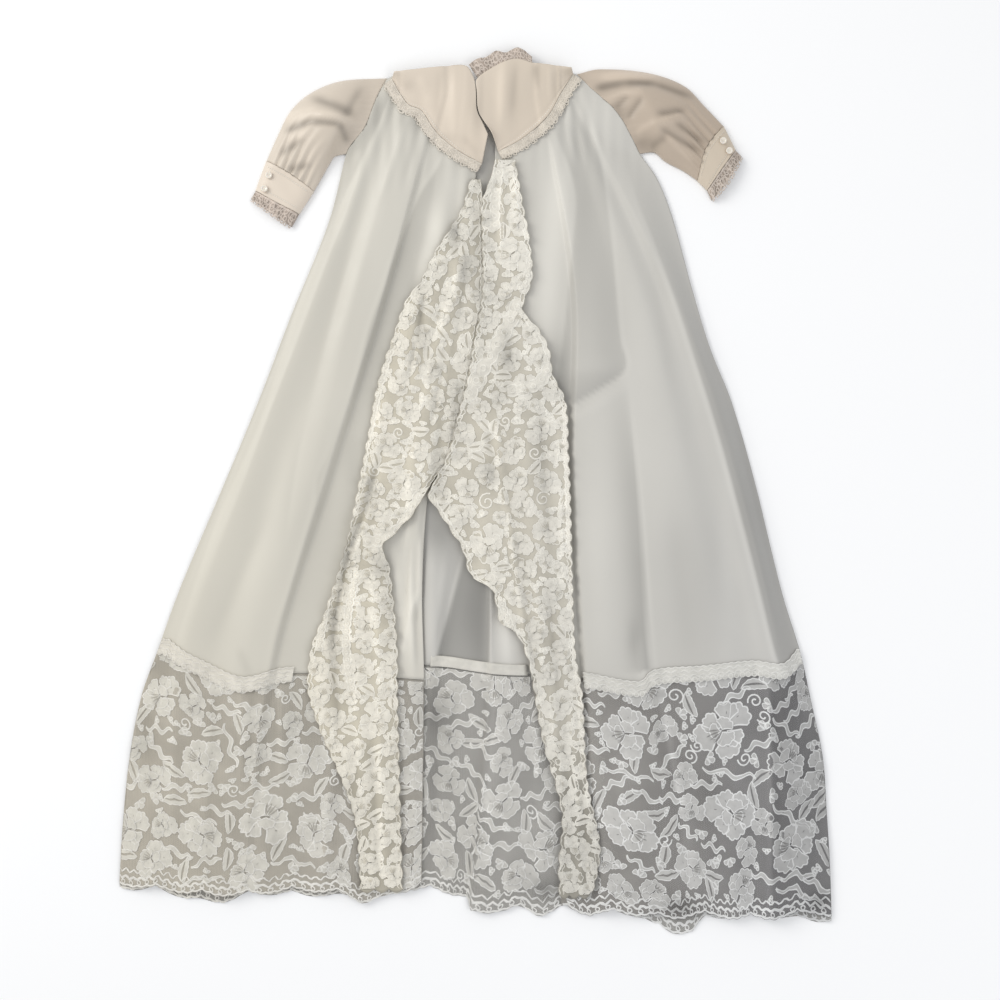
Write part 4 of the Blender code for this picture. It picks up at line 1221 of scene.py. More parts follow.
def strew_hem(threads, start, end, length, seed):
    """Fills the net between the placed motifs: roses, ribbons, leaves, tendrils and buds."""
    chance = random.Random(seed)
    share = (end - start) / TRIES_SPAN

    def ribbon(a, b, turn):
        away = 0.5 * math.sin(turn)
        over, up = 16 * math.cos(away), 16 * math.sin(away)
        threads.wave((a - over, b - up), (a + over, b + up), 2.2, 2, 5.0)

    def tendril(a, b, turn):
        threads.curl(a, b, 7, turn, 1 if turn > math.pi else -1)

    strew(threads, chance, lambda radius: (chance.uniform(start, end), chance.uniform(0, length)), (
        (22, int(140 * share), 0.90, lambda a, b, turn: threads.rose(a, b, 22, turn)),
        (15, int(300 * share), 0.88, lambda a, b, turn: threads.rose(a, b, 15, turn)),
        (10, int(160 * share), 0.80, ribbon),
        (9, int(500 * share), 0.80, lambda a, b, turn: threads.leaf(a, b, turn, 25, 9)),
        (7, int(160 * share), 0.90, tendril),
        (6, int(1200 * share), 0.86, lambda a, b, turn: threads.bud(a, b, 7.5, turn)),
        (3.4, int(2000 * share), 0.92, lambda a, b, turn: threads.bud(a, b, 4.4, turn)),
    ))


# The satin of the body


def panel_columns(counts, times):
    places = [0.0]
    for i, count in enumerate(counts):
        places += [i + (n + 1) / (count * times) for n in range(count * times)]
    return places


LEFT_COLUMNS = (3, 2, 2, 2, 1, 2, 3, 1, 1, 1)
RIGHT_COLUMNS = (2, 2, 1, 2, 2, 2, 2, 3)
BACK_COLUMNS = (3, 3, 3, 2, 1, 3, 3)


def front_cloth(creases):
    def height(x, y, s, t):
        edge = min(1.0, 6 * t, 6 * (1 - t)) * 0.7 + 0.3
        gathers = 0.5 * math.sin(x / 2.1) * ease((y - 280) / 110) * ease((430 - y) / 40)
        return front_under(x, y) + SATIN / 2 + (creases(x, y) + rumple(x, y)) * edge + gathers
    return height


def back_cloth(creases):
    def height(x, y, s, t):
        shown = ease((x + 60) / 12) * ease((90 - x) / 12) * ease(-y / 30)
        lift = 0.5 * rumple(x, y) + creases(x, y)
        return max(back_height(x, y) + SATIN / 2 + lift * shown, SATIN_SHELL)
    return height


def make_satin_body():
    for side, lines, top, seam, counts, creases, shades, laps in (
        ("left", LEFT_LINES, LEFT_TOP, LEFT_HEM_SEAM, LEFT_COLUMNS, LEFT_CREASES + PLACKET_CREASES,
         LEFT_SHADES, LEFT_LAPS),
        ("right", RIGHT_LINES, RIGHT_TOP, RIGHT_HEM_SEAM, RIGHT_COLUMNS, RIGHT_CREASES,
         RIGHT_SHADES, RIGHT_LAPS),
    ):
        place = fan(lines, edge_by_x(top, lines, TOP_STATION), edge_by_x(seam, lines, SEAM_STATION))
        heights = crease_heights(creases)
        cloth = sheet_mesh(
            "cloth_front_" + side, place, front_cloth(Relief(heights)), panel_columns(counts, 8), steps(150),
            SATIN_FRONT, SATIN_SHELL, shade_map(shades, laps, heights),
        )
        dress(cloth, "satin", "front_" + side)
    top = edge_by_x(BACK_TOP, BACK_LINES, TOP_STATION)
    foot = edge_by_x(BACK_HEM_SEAM, BACK_LINES, SEAM_STATION)
    heights = crease_heights(BACK_CREASES)
    back = sheet_mesh(
        "cloth_back", fan(BACK_LINES, top, foot), back_cloth(Relief(heights)), panel_columns(BACK_COLUMNS, 7),
        steps(135), SATIN_INSIDE, SATIN_SHELL, shade_map(BACK_SHADES, BACK_LAPS, heights),
    )
    dress(back, "satin_inside", "back_panel")


# The lace of the hem


def lace_ripple(x, y, seam_y):
    """Small waves of the gathered lace, which grow towards its free edge."""
    down = ease((seam_y - y) / 200)
    return down * (0.9 * math.sin(x / 5.1 + 0.8 * math.sin(y / 37)) + 0.6 * math.sin(x / 11.3 + 1.1))


# The lace is worked on a flat strip this deep, with a border, and laid in the hem's own shape
HEM_NOMINAL = 225.0
HEM_BORDER = 18
# The length of lace for which the tries of strew_hem are given
TRIES_SPAN = 330
HEM_HEIGHTS = crease_heights(HEM_CREASES)
HEM_RELIEF = Relief(HEM_HEIGHTS)
HEM_LIGHT = shade_map(HEM_SHADES, HEM_LAPS, HEM_HEIGHTS)


def index_of(places, x):
    """The place of x among rising places, as a whole number and the part to the next."""
    i = next((n for n in range(len(places) - 2) if x <= places[n + 1]), len(places) - 2)
    return i + (x - places[i]) / (places[i + 1] - places[i])


def hem_border(threads, width):
    """Wavy bands above the scalloped edge, and a cord on the edge itself."""
    count = int(width / 2.3)
    for depth, swing, thickness in ((1.2, 0.0, 2.2), (8.5, 1.6, 2.4), (15.0, 2.2, 1.6)):
        path = []
        for n in range(count + 1):
            a = width * n / count
            path.append((a, HEM_NOMINAL - depth + swing * math.sin(2 * math.pi * a / PICOT_PITCH)))
        threads.cord(path, thickness, 0.6, 0.25)
    for n in range(int(width / PICOT_PITCH)):
        threads.ring((n + 0.5) * PICOT_PITCH, HEM_NOMINAL - 4.4, 1.9, 1.2)


# The X between which the back's hem lace shows, in the front opening
HEM_BACK_SHOWN = (-85, 130)


def make_hem(side, lines, seam_rows, hem_rows, counts, base, material, roses, ribbons, curls, seed):
    """One length of hem lace: its net, and the flowers worked on it."""
    seam = edge_by_x(seam_rows, lines, SEAM_STATION)
    foot = edge_by_x(hem_rows, lines, HEM_STATION)

    def top(s):
        return seam(s) - SEAM_GAP

    def lower(s):
        return foot(s) - scallop(x_across(lines, s, HEM_STATION))

    def height(x, y, s, t):
        crease = 0.7 * HEM_RELIEF(x, y) * min(1.0, 12 * t)
        z = base(x, y) + LACE / 2 + 0.7 * lace_ripple(x, y, seam(s)) + 0.4 + crease
        return max(z, NET_SHELL)

    place = fan(lines, top, lower)
    netting = sheet_mesh(
        "net_hem_" + side, place, height, panel_columns(counts, 8), steps(60), material, NET_SHELL, HEM_LIGHT
    )
    dress(netting, "net_lace", "hem_lace_" + side)

    xs = [line[0]((SEAM_STATION + HEM_STATION) / 2) for line in lines]
    width = xs[-1] - xs[0]

    def surface(a, b):
        s = index_of(xs, clamp(xs[0] + a, xs[0] + 0.5, xs[-1] - 0.5))
        t = clamp(b / HEM_NOMINAL, 0.008, 0.998)
        x, y = place(s, t)
        return x, y, height(x, y, s, t) + NET_SHELL / 2

    def local(x, y):
        s = index_of([line[0](y) for line in lines], x)
        i = min(int(s), len(xs) - 2)
        a = xs[i] + (xs[i + 1] - xs[i]) * (s - i) - xs[0]
        return a, (top(s) - y) / (top(s) - lower(s)) * HEM_NOMINAL

    threads = Threads(surface, HEM_LIGHT)
    for x, y, radius in roses:
        a, b = local(x, y)
        threads.taken.append((a, b, radius))
        threads.rose(a, b, radius, 0.7 * x + 0.3 * y)
    for x0, y0, x1, y1 in ribbons:
        start, end = local(x0, y0), local(x1, y1)
        threads.wave(start, end, 2.6, 2)
        for part in (0.15, 0.5, 0.85):
            threads.taken.append((
                start[0] + (end[0] - start[0]) * part, start[1] + (end[1] - start[1]) * part, 6.0
            ))
    for x, y, radius, hand in curls:
        a, b = local(x, y)
        if threads.claim(a, b, radius, 0.8):
            threads.curl(a, b, radius, 0.1 * x, hand)
    start, end = (HEM_BACK_SHOWN[0] - xs[0], HEM_BACK_SHOWN[1] - xs[0]) if side == "back" else (0, width)
    strew_hem(threads, start, end, HEM_NOMINAL - HEM_BORDER, seed)
    hem_border(threads, width)
    return netting, threads.finish("flowers_hem_" + side, "net_lace", [PETAL_HEM, CORD_HEM, EYE_HEM])


def make_hems():
    def front_base(x, y):
        return LACE + RESTING_GAP + back_height(x, y) + front_height(x, y)

    back = make_hem(
        "back", BACK_LINES, BACK_HEM_SEAM, BACK_HEM, (5, 1, 1, 1, 1, 2, 5), back_height, NET_BACK,
        BACK_HEM_ROSES, (), (), 11,
    )
    left = make_hem(
        "left", LEFT_LINES, LEFT_HEM_SEAM, LEFT_HEM, LEFT_COLUMNS, front_base, NET_HEM,
        LEFT_HEM_ROSES, LEFT_HEM_RIBBONS, LEFT_HEM_CURLS, 12,
    )
    right = make_hem(
        "right", RIGHT_LINES, RIGHT_HEM_SEAM, RIGHT_HEM, RIGHT_COLUMNS, front_base, NET_HEM,
        RIGHT_HEM_ROSES, RIGHT_HEM_RIBBONS, RIGHT_HEM_CURLS, 13,
    )


# Braid and tape over the hem seams


HEADING_TOP = 6.5
HEADING_DEPTH = 15
HEADING_LOOP_PITCH = 6.0


def make_headings():
    """The braid on each front's hem seam: three cords with a row of loops below."""
    for side, lines, seam_rows, low, high in (
        ("left", LEFT_LINES, LEFT_HEM_SEAM, 0.02, 5.6),
        ("right", RIGHT_LINES, RIGHT_HEM_SEAM, 2.4, len(RIGHT_LINES) - 1.02),
    ):
        seam = edge_by_x(seam_rows, lines, SEAM_STATION)
        xs = [line[0](SEAM_STATION) for line in lines]
        start = x_across(lines, low, SEAM_STATION)
        length = x_across(lines, high, SEAM_STATION) - start

        def surface(a, b, lines=lines, seam=seam, xs=xs, start=start):
            s = index_of(xs, start + a)
            y = seam(s) + b
            px = x_across(lines, s, y)
            return px, y, front_under(px, y) + SATIN + RESTING_GAP

        def band(s, t, start=start, length=length, surface=surface):
            x, y, _ = surface(length * s, HEADING_TOP - HEADING_DEPTH * t)
            return x, y

        tape = sheet_mesh(
            "braid_ground_" + side, band,
            lambda x, y, s, t: front_under(x, y) + SATIN + RESTING_GAP + 0.2 + 0.3 * math.sin(x / 3.0) * t,
            steps(150), steps(6), TAPE, TRIM_SHELL,
        )
        dress(tape, "trim_lace", "hem_heading_" + side)
        threads = Threads(surface)
        count = int(length / 1.6)
        for b, swing, pitch in ((6.0, 0.5, 7.0), (2.0, 1.0, 9.0), (-2.5, 1.0, 9.0)):
            path = [
                (length * n / count, b + swing * math.sin(2 * math.pi * length * n / count / pitch))
                for n in range(count + 1)
            ]
            threads.cord(path, 1.5, 0.8, 0.4)
        for n in range(int(length / HEADING_LOOP_PITCH)):
            threads.ring((n + 0.5) * HEADING_LOOP_PITCH, -HEADING_TOP, 2.4, 1.3, 0.3)
        braid = threads.finish("braid_" + side, "trim_lace", [BRAID, BRAID])


TAPE_WIDTH = 11.0


def make_tape():
    seam = edge_by_x(BACK_HEM_SEAM, BACK_LINES, SEAM_STATION)

    def place(s, t):
        y = seam(s) + TAPE_WIDTH - 1.0 - TAPE_WIDTH * t
        return x_across(BACK_LINES, s, y), y

    def height(x, y, s, t):
        return back_height(x, y) + SATIN + RESTING_GAP + LACE / 2

    tape = sheet_mesh("tape_back", place, height, steps(50, 2.1, 5.6), steps(8), TAPE, TAPE_SHELL)
    dress(tape, "trim_lace", "hem_tape_back")


# The ruffles down the front edges


RUFFLE_LOBE = 13.0
RUFFLE_INNER_LOBE = 17.0
# The Y at which the ruffles pass from the satin to the hem lace, and where they are well over it
OVER_HEM_Y = -215
WELL_OVER_HEM_Y = -280


def make_ruffle(side, outer, inner, top_y, foot_y, waves, creases, roses, curls, bands, seed):
    """A gathered ruffle: its net, its flowers, and bright lobed bands where it folds over."""
    length = top_y - foot_y
    outward = -1 if side == "left" else 1
    laps_over = side == "right"

    def edges(y):
        lobe = abs(math.sin(math.pi * y / RUFFLE_LOBE))
        inner_lobe = 2.4 * abs(math.sin(math.pi * y / RUFFLE_INNER_LOBE)) * ease(-y / 30)
        over_slit = (3.6 + 2.6 * lobe) * ease((y + 20) / 60) * ease((320 - y) / 40) if laps_over else 0.0
        return sorted((
            smooth(outer, y) + outward * (2.2 * lobe - 1.2),
            smooth(inner, y) - over_slit - outward * inner_lobe,
        ))

    def place(s, t):
        y = top_y - length * t
        low, high = edges(y)
        lobes = 4.0 * abs(math.sin(3 * math.pi * s)) * ease((t - 0.985) / 0.015)
        return low + (high - low) * s, y - lobes

    def height(x, y, s, t):
        free = abs(2 * s - 1)
        wave = (0.5 + 0.5 * math.sin(2 * math.pi * waves * t + 2.2 * s)) * free
        fine = 0.6 * math.sin(2 * math.pi * waves * 2.3 * t + 5 * s + seed) * free
        gather = 0.4 * math.sin(2 * math.pi * waves * 6 * t) * (1 - free)
        movement = 0.6 * RUFFLE_WAVE * wave + fine + gather
        movement *= 1 - 0.5 * ease(-(y + 150) / 100)
        crease = folds(x, y)
        if y > -30:
            low, high = edges(y)
            near = ease((y + 30) / 30)
            if laps_over:
                crease += 3.4 * near * math.exp(-(((x - low) / 9) ** 2))
            else:
                away = 1 - near * math.exp(-(((high - x) / 12) ** 2))
                movement *= away
                crease *= away
        clear = 1.6 - 1.1 * ease(-(y + 150) / 100)
        return max(over_fronts(x, y) + LACE / 2 + clear + movement + crease, over_fronts(x, y) + 0.3)

    heights = crease_heights(creases)
    folds = Relief(heights)
    shade = shade_map(RUFFLE_SHADES, RUFFLE_LAPS, heights, RUFFLE_PER_MM)
    # How much painted shade the net and the worked part take over the hem lace
    net_foot_shade, grey = (0.36, 0.13) if laps_over else (0.20, 0.0)

    def net_shade(x, y):
        """Painted shade: the net is darker where the ruffle lies over the hem lace."""
        return shade(x, y) * (1 - net_foot_shade * ease((OVER_HEM_Y - y) / 90))

    netting = sheet_mesh(
        "net_ruffle_" + side, place, height, steps(34), steps(290), NET_RUFFLE, NET_SHELL, net_shade
    )
    dress(netting, "net_lace", "ruffle_" + side)

    def surface(a, b):
        y = clamp(b, foot_y + 0.5, top_y - 0.5)
        low, high = edges(y)
        x = clamp(a, low + 0.4, high - 0.4)
        return x, y, height(x, y, (x - low) / (high - low), (top_y - y) / length) + NET_SHELL / 2

    def work_shade(x, y):
        """Painted shade: the worked part greys a little over the right hem lace."""
        return shade(x, y) * (1 - grey * ease((WELL_OVER_HEM_Y - y) / 80))

    threads = Threads(surface, work_shade)
    for width, *path in bands:
        threads.edging(path, width, width * 0.9)
    for x, y, radius in roses:
        threads.taken.append((x, y, radius))
        threads.rose(x, y, radius, 0.7 * x + 0.3 * y)
    for x, y, radius, hand in curls:
        if threads.claim(x, y, radius, 0.8):
            threads.curl(x, y, radius, 0.1 * x, hand)
    chance = random.Random(seed)

    def spot(radius):
        y = chance.uniform(foot_y + 4, top_y - 4)
        low, high = edges(y)
        if high - low < radius:
            return None
        return chance.uniform(low + 0.3 * radius, high - 0.3 * radius), y

    strew(threads, chance, spot, (
        (14, 400, 0.88, lambda x, y, turn: threads.rose(x, y, 14, turn)),
        (9, 600, 0.86, lambda x, y, turn: threads.rose(x, y, 9.5, turn)),
        (7, 900, 0.82, lambda x, y, turn: threads.leaf(x, y, turn, 18, 9)),
        (5, 1800, 0.82, lambda x, y, turn: threads.bud(x, y, 6.5, turn)),
        (3, 2600, 0.85, lambda x, y, turn: threads.bud(x, y, 4.2, turn)),
    ))

    count = int(length / 2.2)
    for inset, thickness in ((1.0, 1.8), (4.6, 1.4)):
        for edge in (0, 1):
            path = []
            for n in range(count + 1):
                y = top_y - length * n / count
                low, high = edges(y)
                sway = inset + 0.7 * math.sin(2 * math.pi * y / 6.5)
                path.append((low + sway if edge == 0 else high - sway, y))
            over_hem = next(n for n, (_, y) in enumerate(path) if y < OVER_HEM_Y)
            threads.cord(path[:over_hem], 0.8 * thickness, 0.5, 0.3)
            threads.cord(path[over_hem:], 0.7 * thickness, 0.3, 0.2, threads.FILL)
    flowers = threads.finish(
        "flowers_ruffle_" + side, "net_lace", [PETAL_RUFFLE, CORD_RUFFLE, EYE_RUFFLE]
    )


# Sleeves, cuffs and their trim

SHELL_FLOOR = 0.8
SLEEVE_LOWEST_TOP = 1.9
SLEEVE_HEAD = 0.35
SLEEVE_PUCKERS = 13
CUFF_EDGE = 4.6
CUFF_LACE_EDGE = 3.9
CUFF_LACE_RIPPLES = 6
LOOPS_DEPTH = 11.0
LOOPS_PITCH = 3.9
NECK_LOOPS_PITCH = 4.2
STITCH_PITCH = 2.4


def make_sleeve(side, body_side, shoulder_y, outer, inner, seam, cuff_end, lace_end, creases, buttons):
    outward = -1 if side == "left" else 1

    def armhole(s):
        y = shoulder_y + (UNDERARM_Y - shoulder_y) * s
        return smooth(body_side, y) + outward * SHELL_GAP, y

    outer_edge = (armhole(0), *outer)
    inner_edge = (armhole(1), *inner)

    def place(s, t):
        a, b, c, d = along(outer_edge, t), along(inner_edge, t), armhole(s), along(seam, s)
        corners = (armhole(0), armhole(1), seam[0], seam[-1])
        return tuple(
            (1 - s) * a[k] + s * b[k] + (1 - t) * c[k] + t * d[k]
            - (1 - t) * ((1 - s) * corners[0][k] + s * corners[1][k])
            - t * ((1 - s) * corners[2][k] + s * corners[3][k])
            for k in (0, 1)
        )

    def top(s, t):
        arch = math.sin(math.pi * s)
        start = SATIN + RESTING_GAP + ARMHOLE_RISE * arch + SATIN
        full = SLEEVE_EDGE + (SLEEVE_HEIGHT - SLEEVE_EDGE) * arch**0.7
        end = SLEEVE_EDGE + (CUFF_HEIGHT + 1 - SLEEVE_EDGE) * arch**0.5
        end += CUFF_GATHER_HEIGHT * arch * math.cos(2 * math.pi * CUFF_GATHERS * s)
        if t < SLEEVE_HEAD:
            return start + (full - start) * ease(t / SLEEVE_HEAD)
        return full + (end - full) * ease((t - SLEEVE_HEAD) / 0.65)

    def tube_rings(laid, upper, floor, across, down):
        rings = []
        for t in down:
            ring = []
            for s in across:
                x, y = laid(s, t)
                ring.append((x, y, upper(x, y, s, t)))
            for s in reversed(across):
                x, y = laid(s, t)
                ring.append((x, y, floor))
            rings.append(ring)
        return rings

    across = [0.5 - 0.5 * math.cos(math.pi * n / 56) for n in range(57)]
    heights = crease_heights(creases)
    folds = Relief(heights)

    def sleeve_top(x, y, s, t):
        arch = math.sin(math.pi * s)
        near_seams = ease((t - 0.75) / 0.25) + ease((0.2 - t) / 0.2)
        puckers = 0.5 * math.sin(2 * math.pi * SLEEVE_PUCKERS * s) * arch * near_seams
        uneven = (folds(x, y) + 0.6 * rumple(x * 1.7, y * 1.7)) * arch
        return max(top(s, t) - SATIN / 2 + uneven + puckers, SLEEVE_LOWEST_TOP)

    sleeve = ring_mesh(
        "cloth_sleeve_" + side, tube_rings(place, sleeve_top, SHELL_FLOOR, across, steps(76)),
        SATIN_SLEEVE, SATIN_SHELL, shade_map(SLEEVE_SHADES, (), heights, SLEEVE_PER_MM),
    )
    dress(sleeve, "satin", "sleeve_" + side)

    def from_seam(first, second, gap):
        def laid(s, t):
            a, b = along(first, s), along(second, s)
            part = gap / math.dist(a, b)
            part += (1 - part) * t
            return a[0] + (b[0] - a[0]) * part, a[1] + (b[1] - a[1]) * part
        return laid

    cuff_place = from_seam(seam, cuff_end, SHELL_GAP)

    def cuff_top(s, t):
        return CUFF_EDGE + (CUFF_HEIGHT - CUFF_EDGE) * (1 - abs(2 * s - 1) ** 5)

    def cuff_shell(x, y, s, t):
        press = 0.25 * math.sin(x / 4.0 + y / 6.0) * math.sin(math.pi * s)
        seam_line = -0.5 * math.exp(-((t - 0.08) / 0.05) ** 2) - 0.4 * math.exp(-((t - 0.9) / 0.04) ** 2)
        return cuff_top(s, t) - CUFF_SHELL + press + seam_line

    cuff = ring_mesh(
        "cloth_cuff_" + side, tube_rings(cuff_place, cuff_shell, SHELL_FLOOR, across, steps(24)),
        SATIN_IVORY, CUFF_SHELL,
    )
    dress(cuff, "satin", "cuff_" + side)

    lace_place = from_seam(cuff_end, lace_end, SHELL_GAP)

    def lace_top(s, t):
        ripple = 0.6 * t * math.cos(2 * math.pi * CUFF_LACE_RIPPLES * s) * math.sin(math.pi * s)
        return CUFF_LACE_EDGE + (CUFF_LACE_HEIGHT - CUFF_LACE_EDGE) * (1 - abs(2 * s - 1) ** 4) + ripple

    width = math.dist(cuff_end[0], cuff_end[-1])
    band = ring_mesh(
        "lace_cuff_ground_" + side,
        tube_rings(
            lambda s, t: lace_place(s, 0.8 * t), lambda x, y, s, t: lace_top(s, t) - 0.9,
            CUFF_LACE_LIFT + 0.5, across, steps(4),
        ),
        TRIM_GROUND, TRIM_SHELL,
    )
    dress(band, "trim_lace", "cuff_lace_" + side)

    def lace_surface(a, b):
        s = clamp(a / width, 0.01, 0.99)
        x, y = lace_place(s, clamp(b / LOOPS_DEPTH, 0, 1))
        return x, y, lace_top(s, 1) - 0.7

    loops = looped_lace("lace_cuff_" + side, lace_surface, width, LOOPS_DEPTH, LOOPS_PITCH, TRIM)

    stitches = Threads(lambda a, b: (*cuff_place(a, b), cuff_top(a, b) - 0.2))
    for t in (0.16, 0.84):
        for n in range(int(width / STITCH_PITCH)):
            s = 0.06 + 0.88 * n / (width / STITCH_PITCH)
            stitches.cord([(s, t), (s + 0.014, t), (s + 0.028, t)], 0.02, 0.25, 0.1)
    stitches.finish("stitches_cuff_" + side, "satin", [THREAD, THREAD])

    for number, (s, t) in enumerate(buttons, 1):
        x, y = cuff_place(s, t)
        low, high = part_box(f"button_{side}_{number}")
        make_button(f"pearl_{side}_{number}", x, y, low.z / MM, high.z / MM, f"button_{side}_{number}")


def looped_lace(name, surface, length, reach, pitch, material):
    """Narrow looped lace: a heading cord, two rows of rings and a row of picots."""
    threads = Threads(surface)
    count = int(length / pitch)
    threads.cord([(length * n / (count * 2), 0.9) for n in range(count * 2 + 1)], 1.6, 0.9, 0.2)
    for row, (b, radius, thickness) in enumerate(((3.0, 1.9, 1.1), (6.4, 2.0, 1.1), (9.4, 1.6, 1.0))):
        for n in range(count):
            a = (n + 0.5 + 0.5 * (row % 2)) * length / count + 0.8 * math.sin(2.7 * n + 5 * row)
            if a < length:
                depth = b * reach / LOOPS_DEPTH + 0.7 * math.sin(4.1 * n + 2 * row)
                size = radius * (1 + 0.22 * math.sin(5.3 * n + row))
                threads.ring(a, depth, size, thickness, 0.2 + 0.15 * (row % 2))
    return threads.finish(name, "trim_lace", [material, material])


BUTTON_RADIUS = 3.5
BUTTON_DISH = 0.62
# From the middle of the top, over the rim, to the middle of the foot: parts of the radius and of the height
BUTTON_PROFILE = (
    (0.0, BUTTON_DISH), (0.28, BUTTON_DISH), (0.5, 0.70), (0.66, 0.95), (0.84, 1.0), (0.96, 0.8),
    (1.0, 0.5), (0.93, 0.12), (0.6, 0.0), (0.0, 0.0),
)


def make_button(name, x, y, low, high, node):
    """A small dished pearl button, with its thread across the middle."""
    sides = 32
    points = []
    for radius, level in BUTTON_PROFILE:
        for n in range(sides if radius else 1):
            angle = 2 * math.pi * n / sides
            points.append((
                x + BUTTON_RADIUS * radius * math.cos(angle),
                y + BUTTON_RADIUS * radius * math.sin(angle),
                low + (high - low) * level,
            ))
    faces = []
    for n in range(sides):
        m = (n + 1) % sides
        faces.append((0, 1 + n, 1 + m))
        for ring in range(len(BUTTON_PROFILE) - 3):
            first = 1 + ring * sides
            faces.append((first + n, first + sides + n, first + sides + m, first + m))
        last = 1 + (len(BUTTON_PROFILE) - 3) * sides
        faces.append((last + n, len(points) - 1, last + m))
    dress(add_mesh(name, points, faces, [PEARL]), "button", node)
    middle = low + (high - low) * BUTTON_DISH
    threads = Threads(lambda a, b: (x + a, y + b, middle))
    for offset in (-0.5, 0.5):
        threads.cord([(-1.1, offset), (0, offset), (1.1, offset)], 0.5, 0.3, 0.05)
    threads.finish(name + "_thread", "button", [THREAD, THREAD])


# The collar and the lace at the neck


COLLAR_HEIGHTS = crease_heights(COLLAR_CREASES)
COLLAR_RELIEF = Relief(COLLAR_HEIGHTS)
COLLAR_LIGHT = shade_map(COLLAR_SHADES, (), COLLAR_HEIGHTS, COLLAR_PER_MM)


def make_collar(side, outer, neck, outward):
    def height(x, y, s, t):
        soft_wave = 0.5 * math.sin(x / 9.0) * math.sin(y / 11.0)
        groove = -0.5 * math.exp(-((t - 0.07) / 0.03) ** 2)
        crown = 0.8 * math.sin(math.pi * t) + COLLAR_RELIEF(x, y) * math.sin(math.pi * t) ** 0.5
        return over_fronts(x, y) + COLLAR_ROLL * ease(t) + SATIN / 2 + soft_wave + groove + crown

    place = strip(outer, neck)
    wing = sheet_mesh(
        "cloth_collar_" + side, place, height, steps(90), steps(44), SATIN_IVORY, COLLAR_SHELL,
        COLLAR_LIGHT,
    )
    dress(wing, "satin", "collar_" + side)

    length = curve_length(outer, 40)

    def surface(a, b):
        s = clamp(a / length, 0.0, 1.0)
        x, y = along(outer, s)
        ahead, behind = along(outer, min(s + 0.02, 1)), along(outer, max(s - 0.02, 0))
        run = math.dist(ahead, behind)
        px = x + (ahead[1] - behind[1]) / run * outward * b
        py = y + (behind[0] - ahead[0]) / run * outward * b
        return px, py, over_fronts(px, py) + 0.3

    def ground(s, t):
        x, y, _ = surface(length * s, 0.6 + 8.6 * t)
        return x, y

    band = sheet_mesh(
        "lace_collar_ground_" + side, ground, lambda x, y, s, t: over_fronts(x, y) + 0.5,
        steps(110), steps(5), COLLAR_GROUND, TRIM_SHELL,
    )
    dress(band, "trim_lace", "collar_lace_" + side)
    loops = looped_lace(
        "lace_collar_" + side, surface, length, COLLAR_LACE_WIDTH + 0.5, LOOPS_PITCH, COLLAR_TRIM
    )

    def on_wing(a, b):
        x, y = place(a, b)
        return x, y, height(x, y, a, b) + 0.3

    stitches = Threads(on_wing)
    count = int(length / STITCH_PITCH)
    for n in range(count):
        s = (n + 0.2) / count
        stitches.cord([(s, 0.045), (s + 0.25 / count, 0.045), (s + 0.5 / count, 0.045)], 0.012, 0.25, 0.05)
    stitches.finish("stitches_collar_" + side, "satin", [THREAD, THREAD])


def make_neck():
    place = strip(NECK_LACE_INNER, NECK_LACE_OUTER)
    length = curve_length(NECK_LACE_INNER, 20)

    def height(x, y, s, t):
        return over_fronts(x, y) + COLLAR_ROLL - NECK_LACE_DROP * ease(t) - 1.3 * RESTING_GAP - LACE / 2

    band = sheet_mesh(
        "lace_neck_ground", place, height, steps(50), steps(12), TRIM_GROUND, TRIM_SHELL
    )
    dress(band, "trim_lace", "neck_lace")

    def surface(a, b):
        s, t = clamp(a / length, 0, 1), clamp(b / LOOPS_DEPTH, 0, 1)
        x, y = place(s, t)
        return x, y, height(x, y, s, t) + 0.2

    loops = looped_lace("lace_neck", surface, length, LOOPS_DEPTH, NECK_LOOPS_PITCH, TRIM)


# The surface it lies on, the lights and the camera


FLOOR_SIZE = 3.0
CAMERA_PLACE = (0.025, -0.009, 1.397)
# Soft lights: name, place, width, power, colour
LIGHTS = (
    ("key", (-1.6, 1.0, 1.3), 1.3, 22.0, (1.0, 0.985, 0.95)),
    ("fill", (1.2, -0.6, 1.8), 1.6, 8.0, (0.95, 0.97, 1.0)),
)


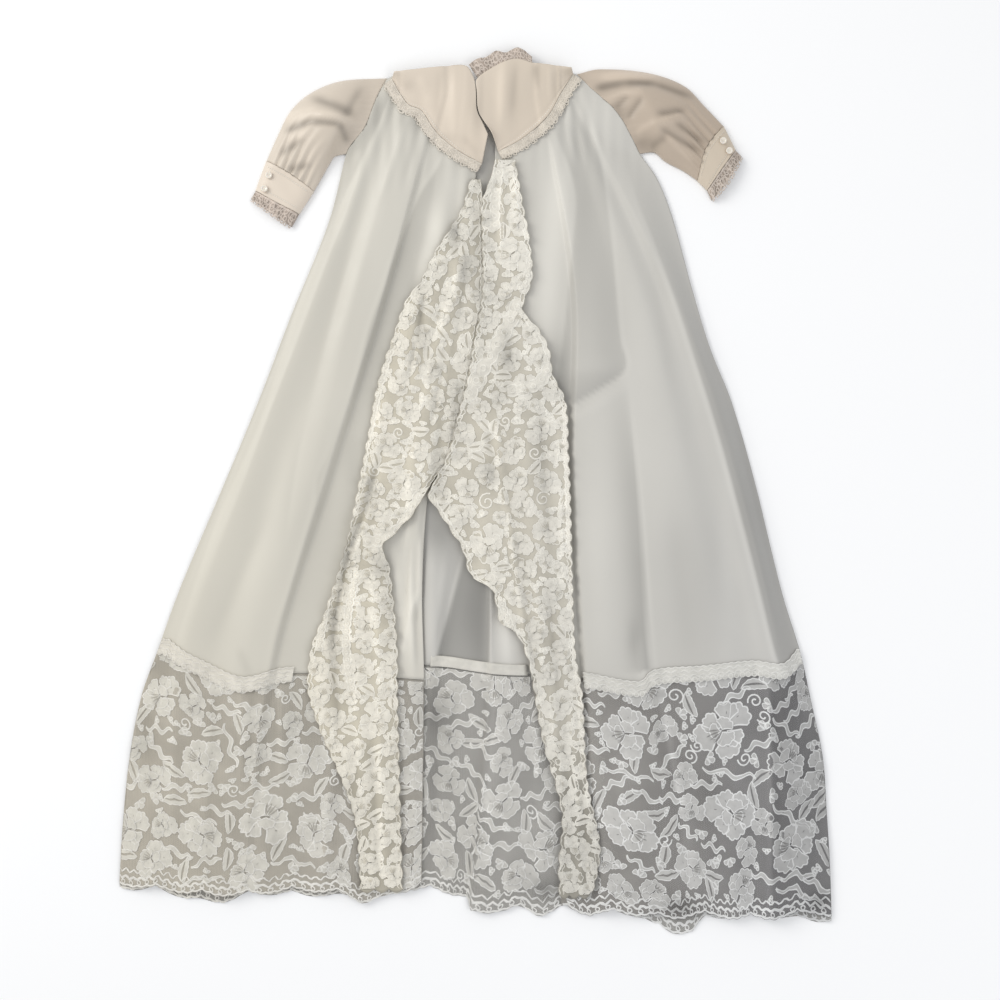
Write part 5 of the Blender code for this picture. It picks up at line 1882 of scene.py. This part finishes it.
def make_stage():
    corner = FLOOR_SIZE / 2
    mesh = bpy.data.meshes.new("floor")
    mesh.from_pydata(
        [(-corner, -corner, 0), (corner, -corner, 0), (corner, corner, 0), (-corner, corner, 0)],
        [], [(0, 1, 2, 3)],
    )
    shader = Shader("floor", 0.9, Specular_IOR_Level=0.1)
    shader.surface.inputs["Base Color"].default_value = (0.95, 0.95, 0.95, 1)
    mesh.materials.append(shader.material)
    floor = bpy.data.objects.new("floor", mesh)
    bpy.context.scene.collection.objects.link(floor)

    world = bpy.data.worlds.new("world")
    bpy.context.scene.world = world
    world.use_nodes = True
    sky = world.node_tree.nodes["Background"]
    sky.inputs["Color"].default_value = (0.97, 0.98, 1.0, 1)
    sky.inputs["Strength"].default_value = 0.74

    for name, place, size, power, colour in LIGHTS:
        data = bpy.data.lights.new(name, "AREA")
        data.shape = "DISK"
        data.size = size
        data.energy = power
        data.color = colour
        light = bpy.data.objects.new(name, data)
        light.location = place
        bpy.context.scene.collection.objects.link(light)
        light.rotation_euler = (-light.location).to_track_quat("-Z", "Y").to_euler()

    camera = bpy.data.objects.new("camera", bpy.data.cameras.new("camera"))
    camera.data.lens = 50
    camera.data.sensor_width = 36
    camera.location = CAMERA_PLACE
    bpy.context.scene.collection.objects.link(camera)
    bpy.context.scene.camera = camera
    bpy.context.scene.view_settings.view_transform = "Standard"


make_stage()
make_satin_body()
make_hems()
make_headings()
make_tape()
make_ruffle(
    "left", LEFT_RUFFLE_OUTER, LEFT_RUFFLE_INNER, 312, -398, LEFT_RUFFLE_WAVES, LEFT_RUFFLE_CREASES,
    LEFT_RUFFLE_ROSES, LEFT_RUFFLE_CURLS, LEFT_RUFFLE_BANDS, 3,
)
make_ruffle(
    "right", RIGHT_RUFFLE_OUTER, RIGHT_RUFFLE_INNER, 331, -404, RIGHT_RUFFLE_WAVES, RIGHT_RUFFLE_CREASES,
    RIGHT_RUFFLE_ROSES, RIGHT_RUFFLE_CURLS, RIGHT_RUFFLE_BANDS, 5,
)
make_sleeve(
    "left", LEFT_SIDE, LEFT_SHOULDER_Y, LEFT_SLEEVE_OUTER, LEFT_SLEEVE_INNER, LEFT_CUFF_SEAM,
    LEFT_CUFF_END, LEFT_LACE_END, LEFT_SLEEVE_CREASES, ((0.16, 0.38), (0.18, 0.82)),
)
make_sleeve(
    "right", RIGHT_SIDE, RIGHT_SHOULDER_Y, RIGHT_SLEEVE_OUTER, RIGHT_SLEEVE_INNER, RIGHT_CUFF_SEAM,
    RIGHT_CUFF_END, RIGHT_LACE_END, RIGHT_SLEEVE_CREASES, ((0.16, 0.38), (0.16, 0.82)),
)
make_collar("left", LEFT_COLLAR_OUTER, LEFT_COLLAR_NECK, 1)
make_collar("right", RIGHT_COLLAR_OUTER, RIGHT_COLLAR_NECK, -1)
make_neck()
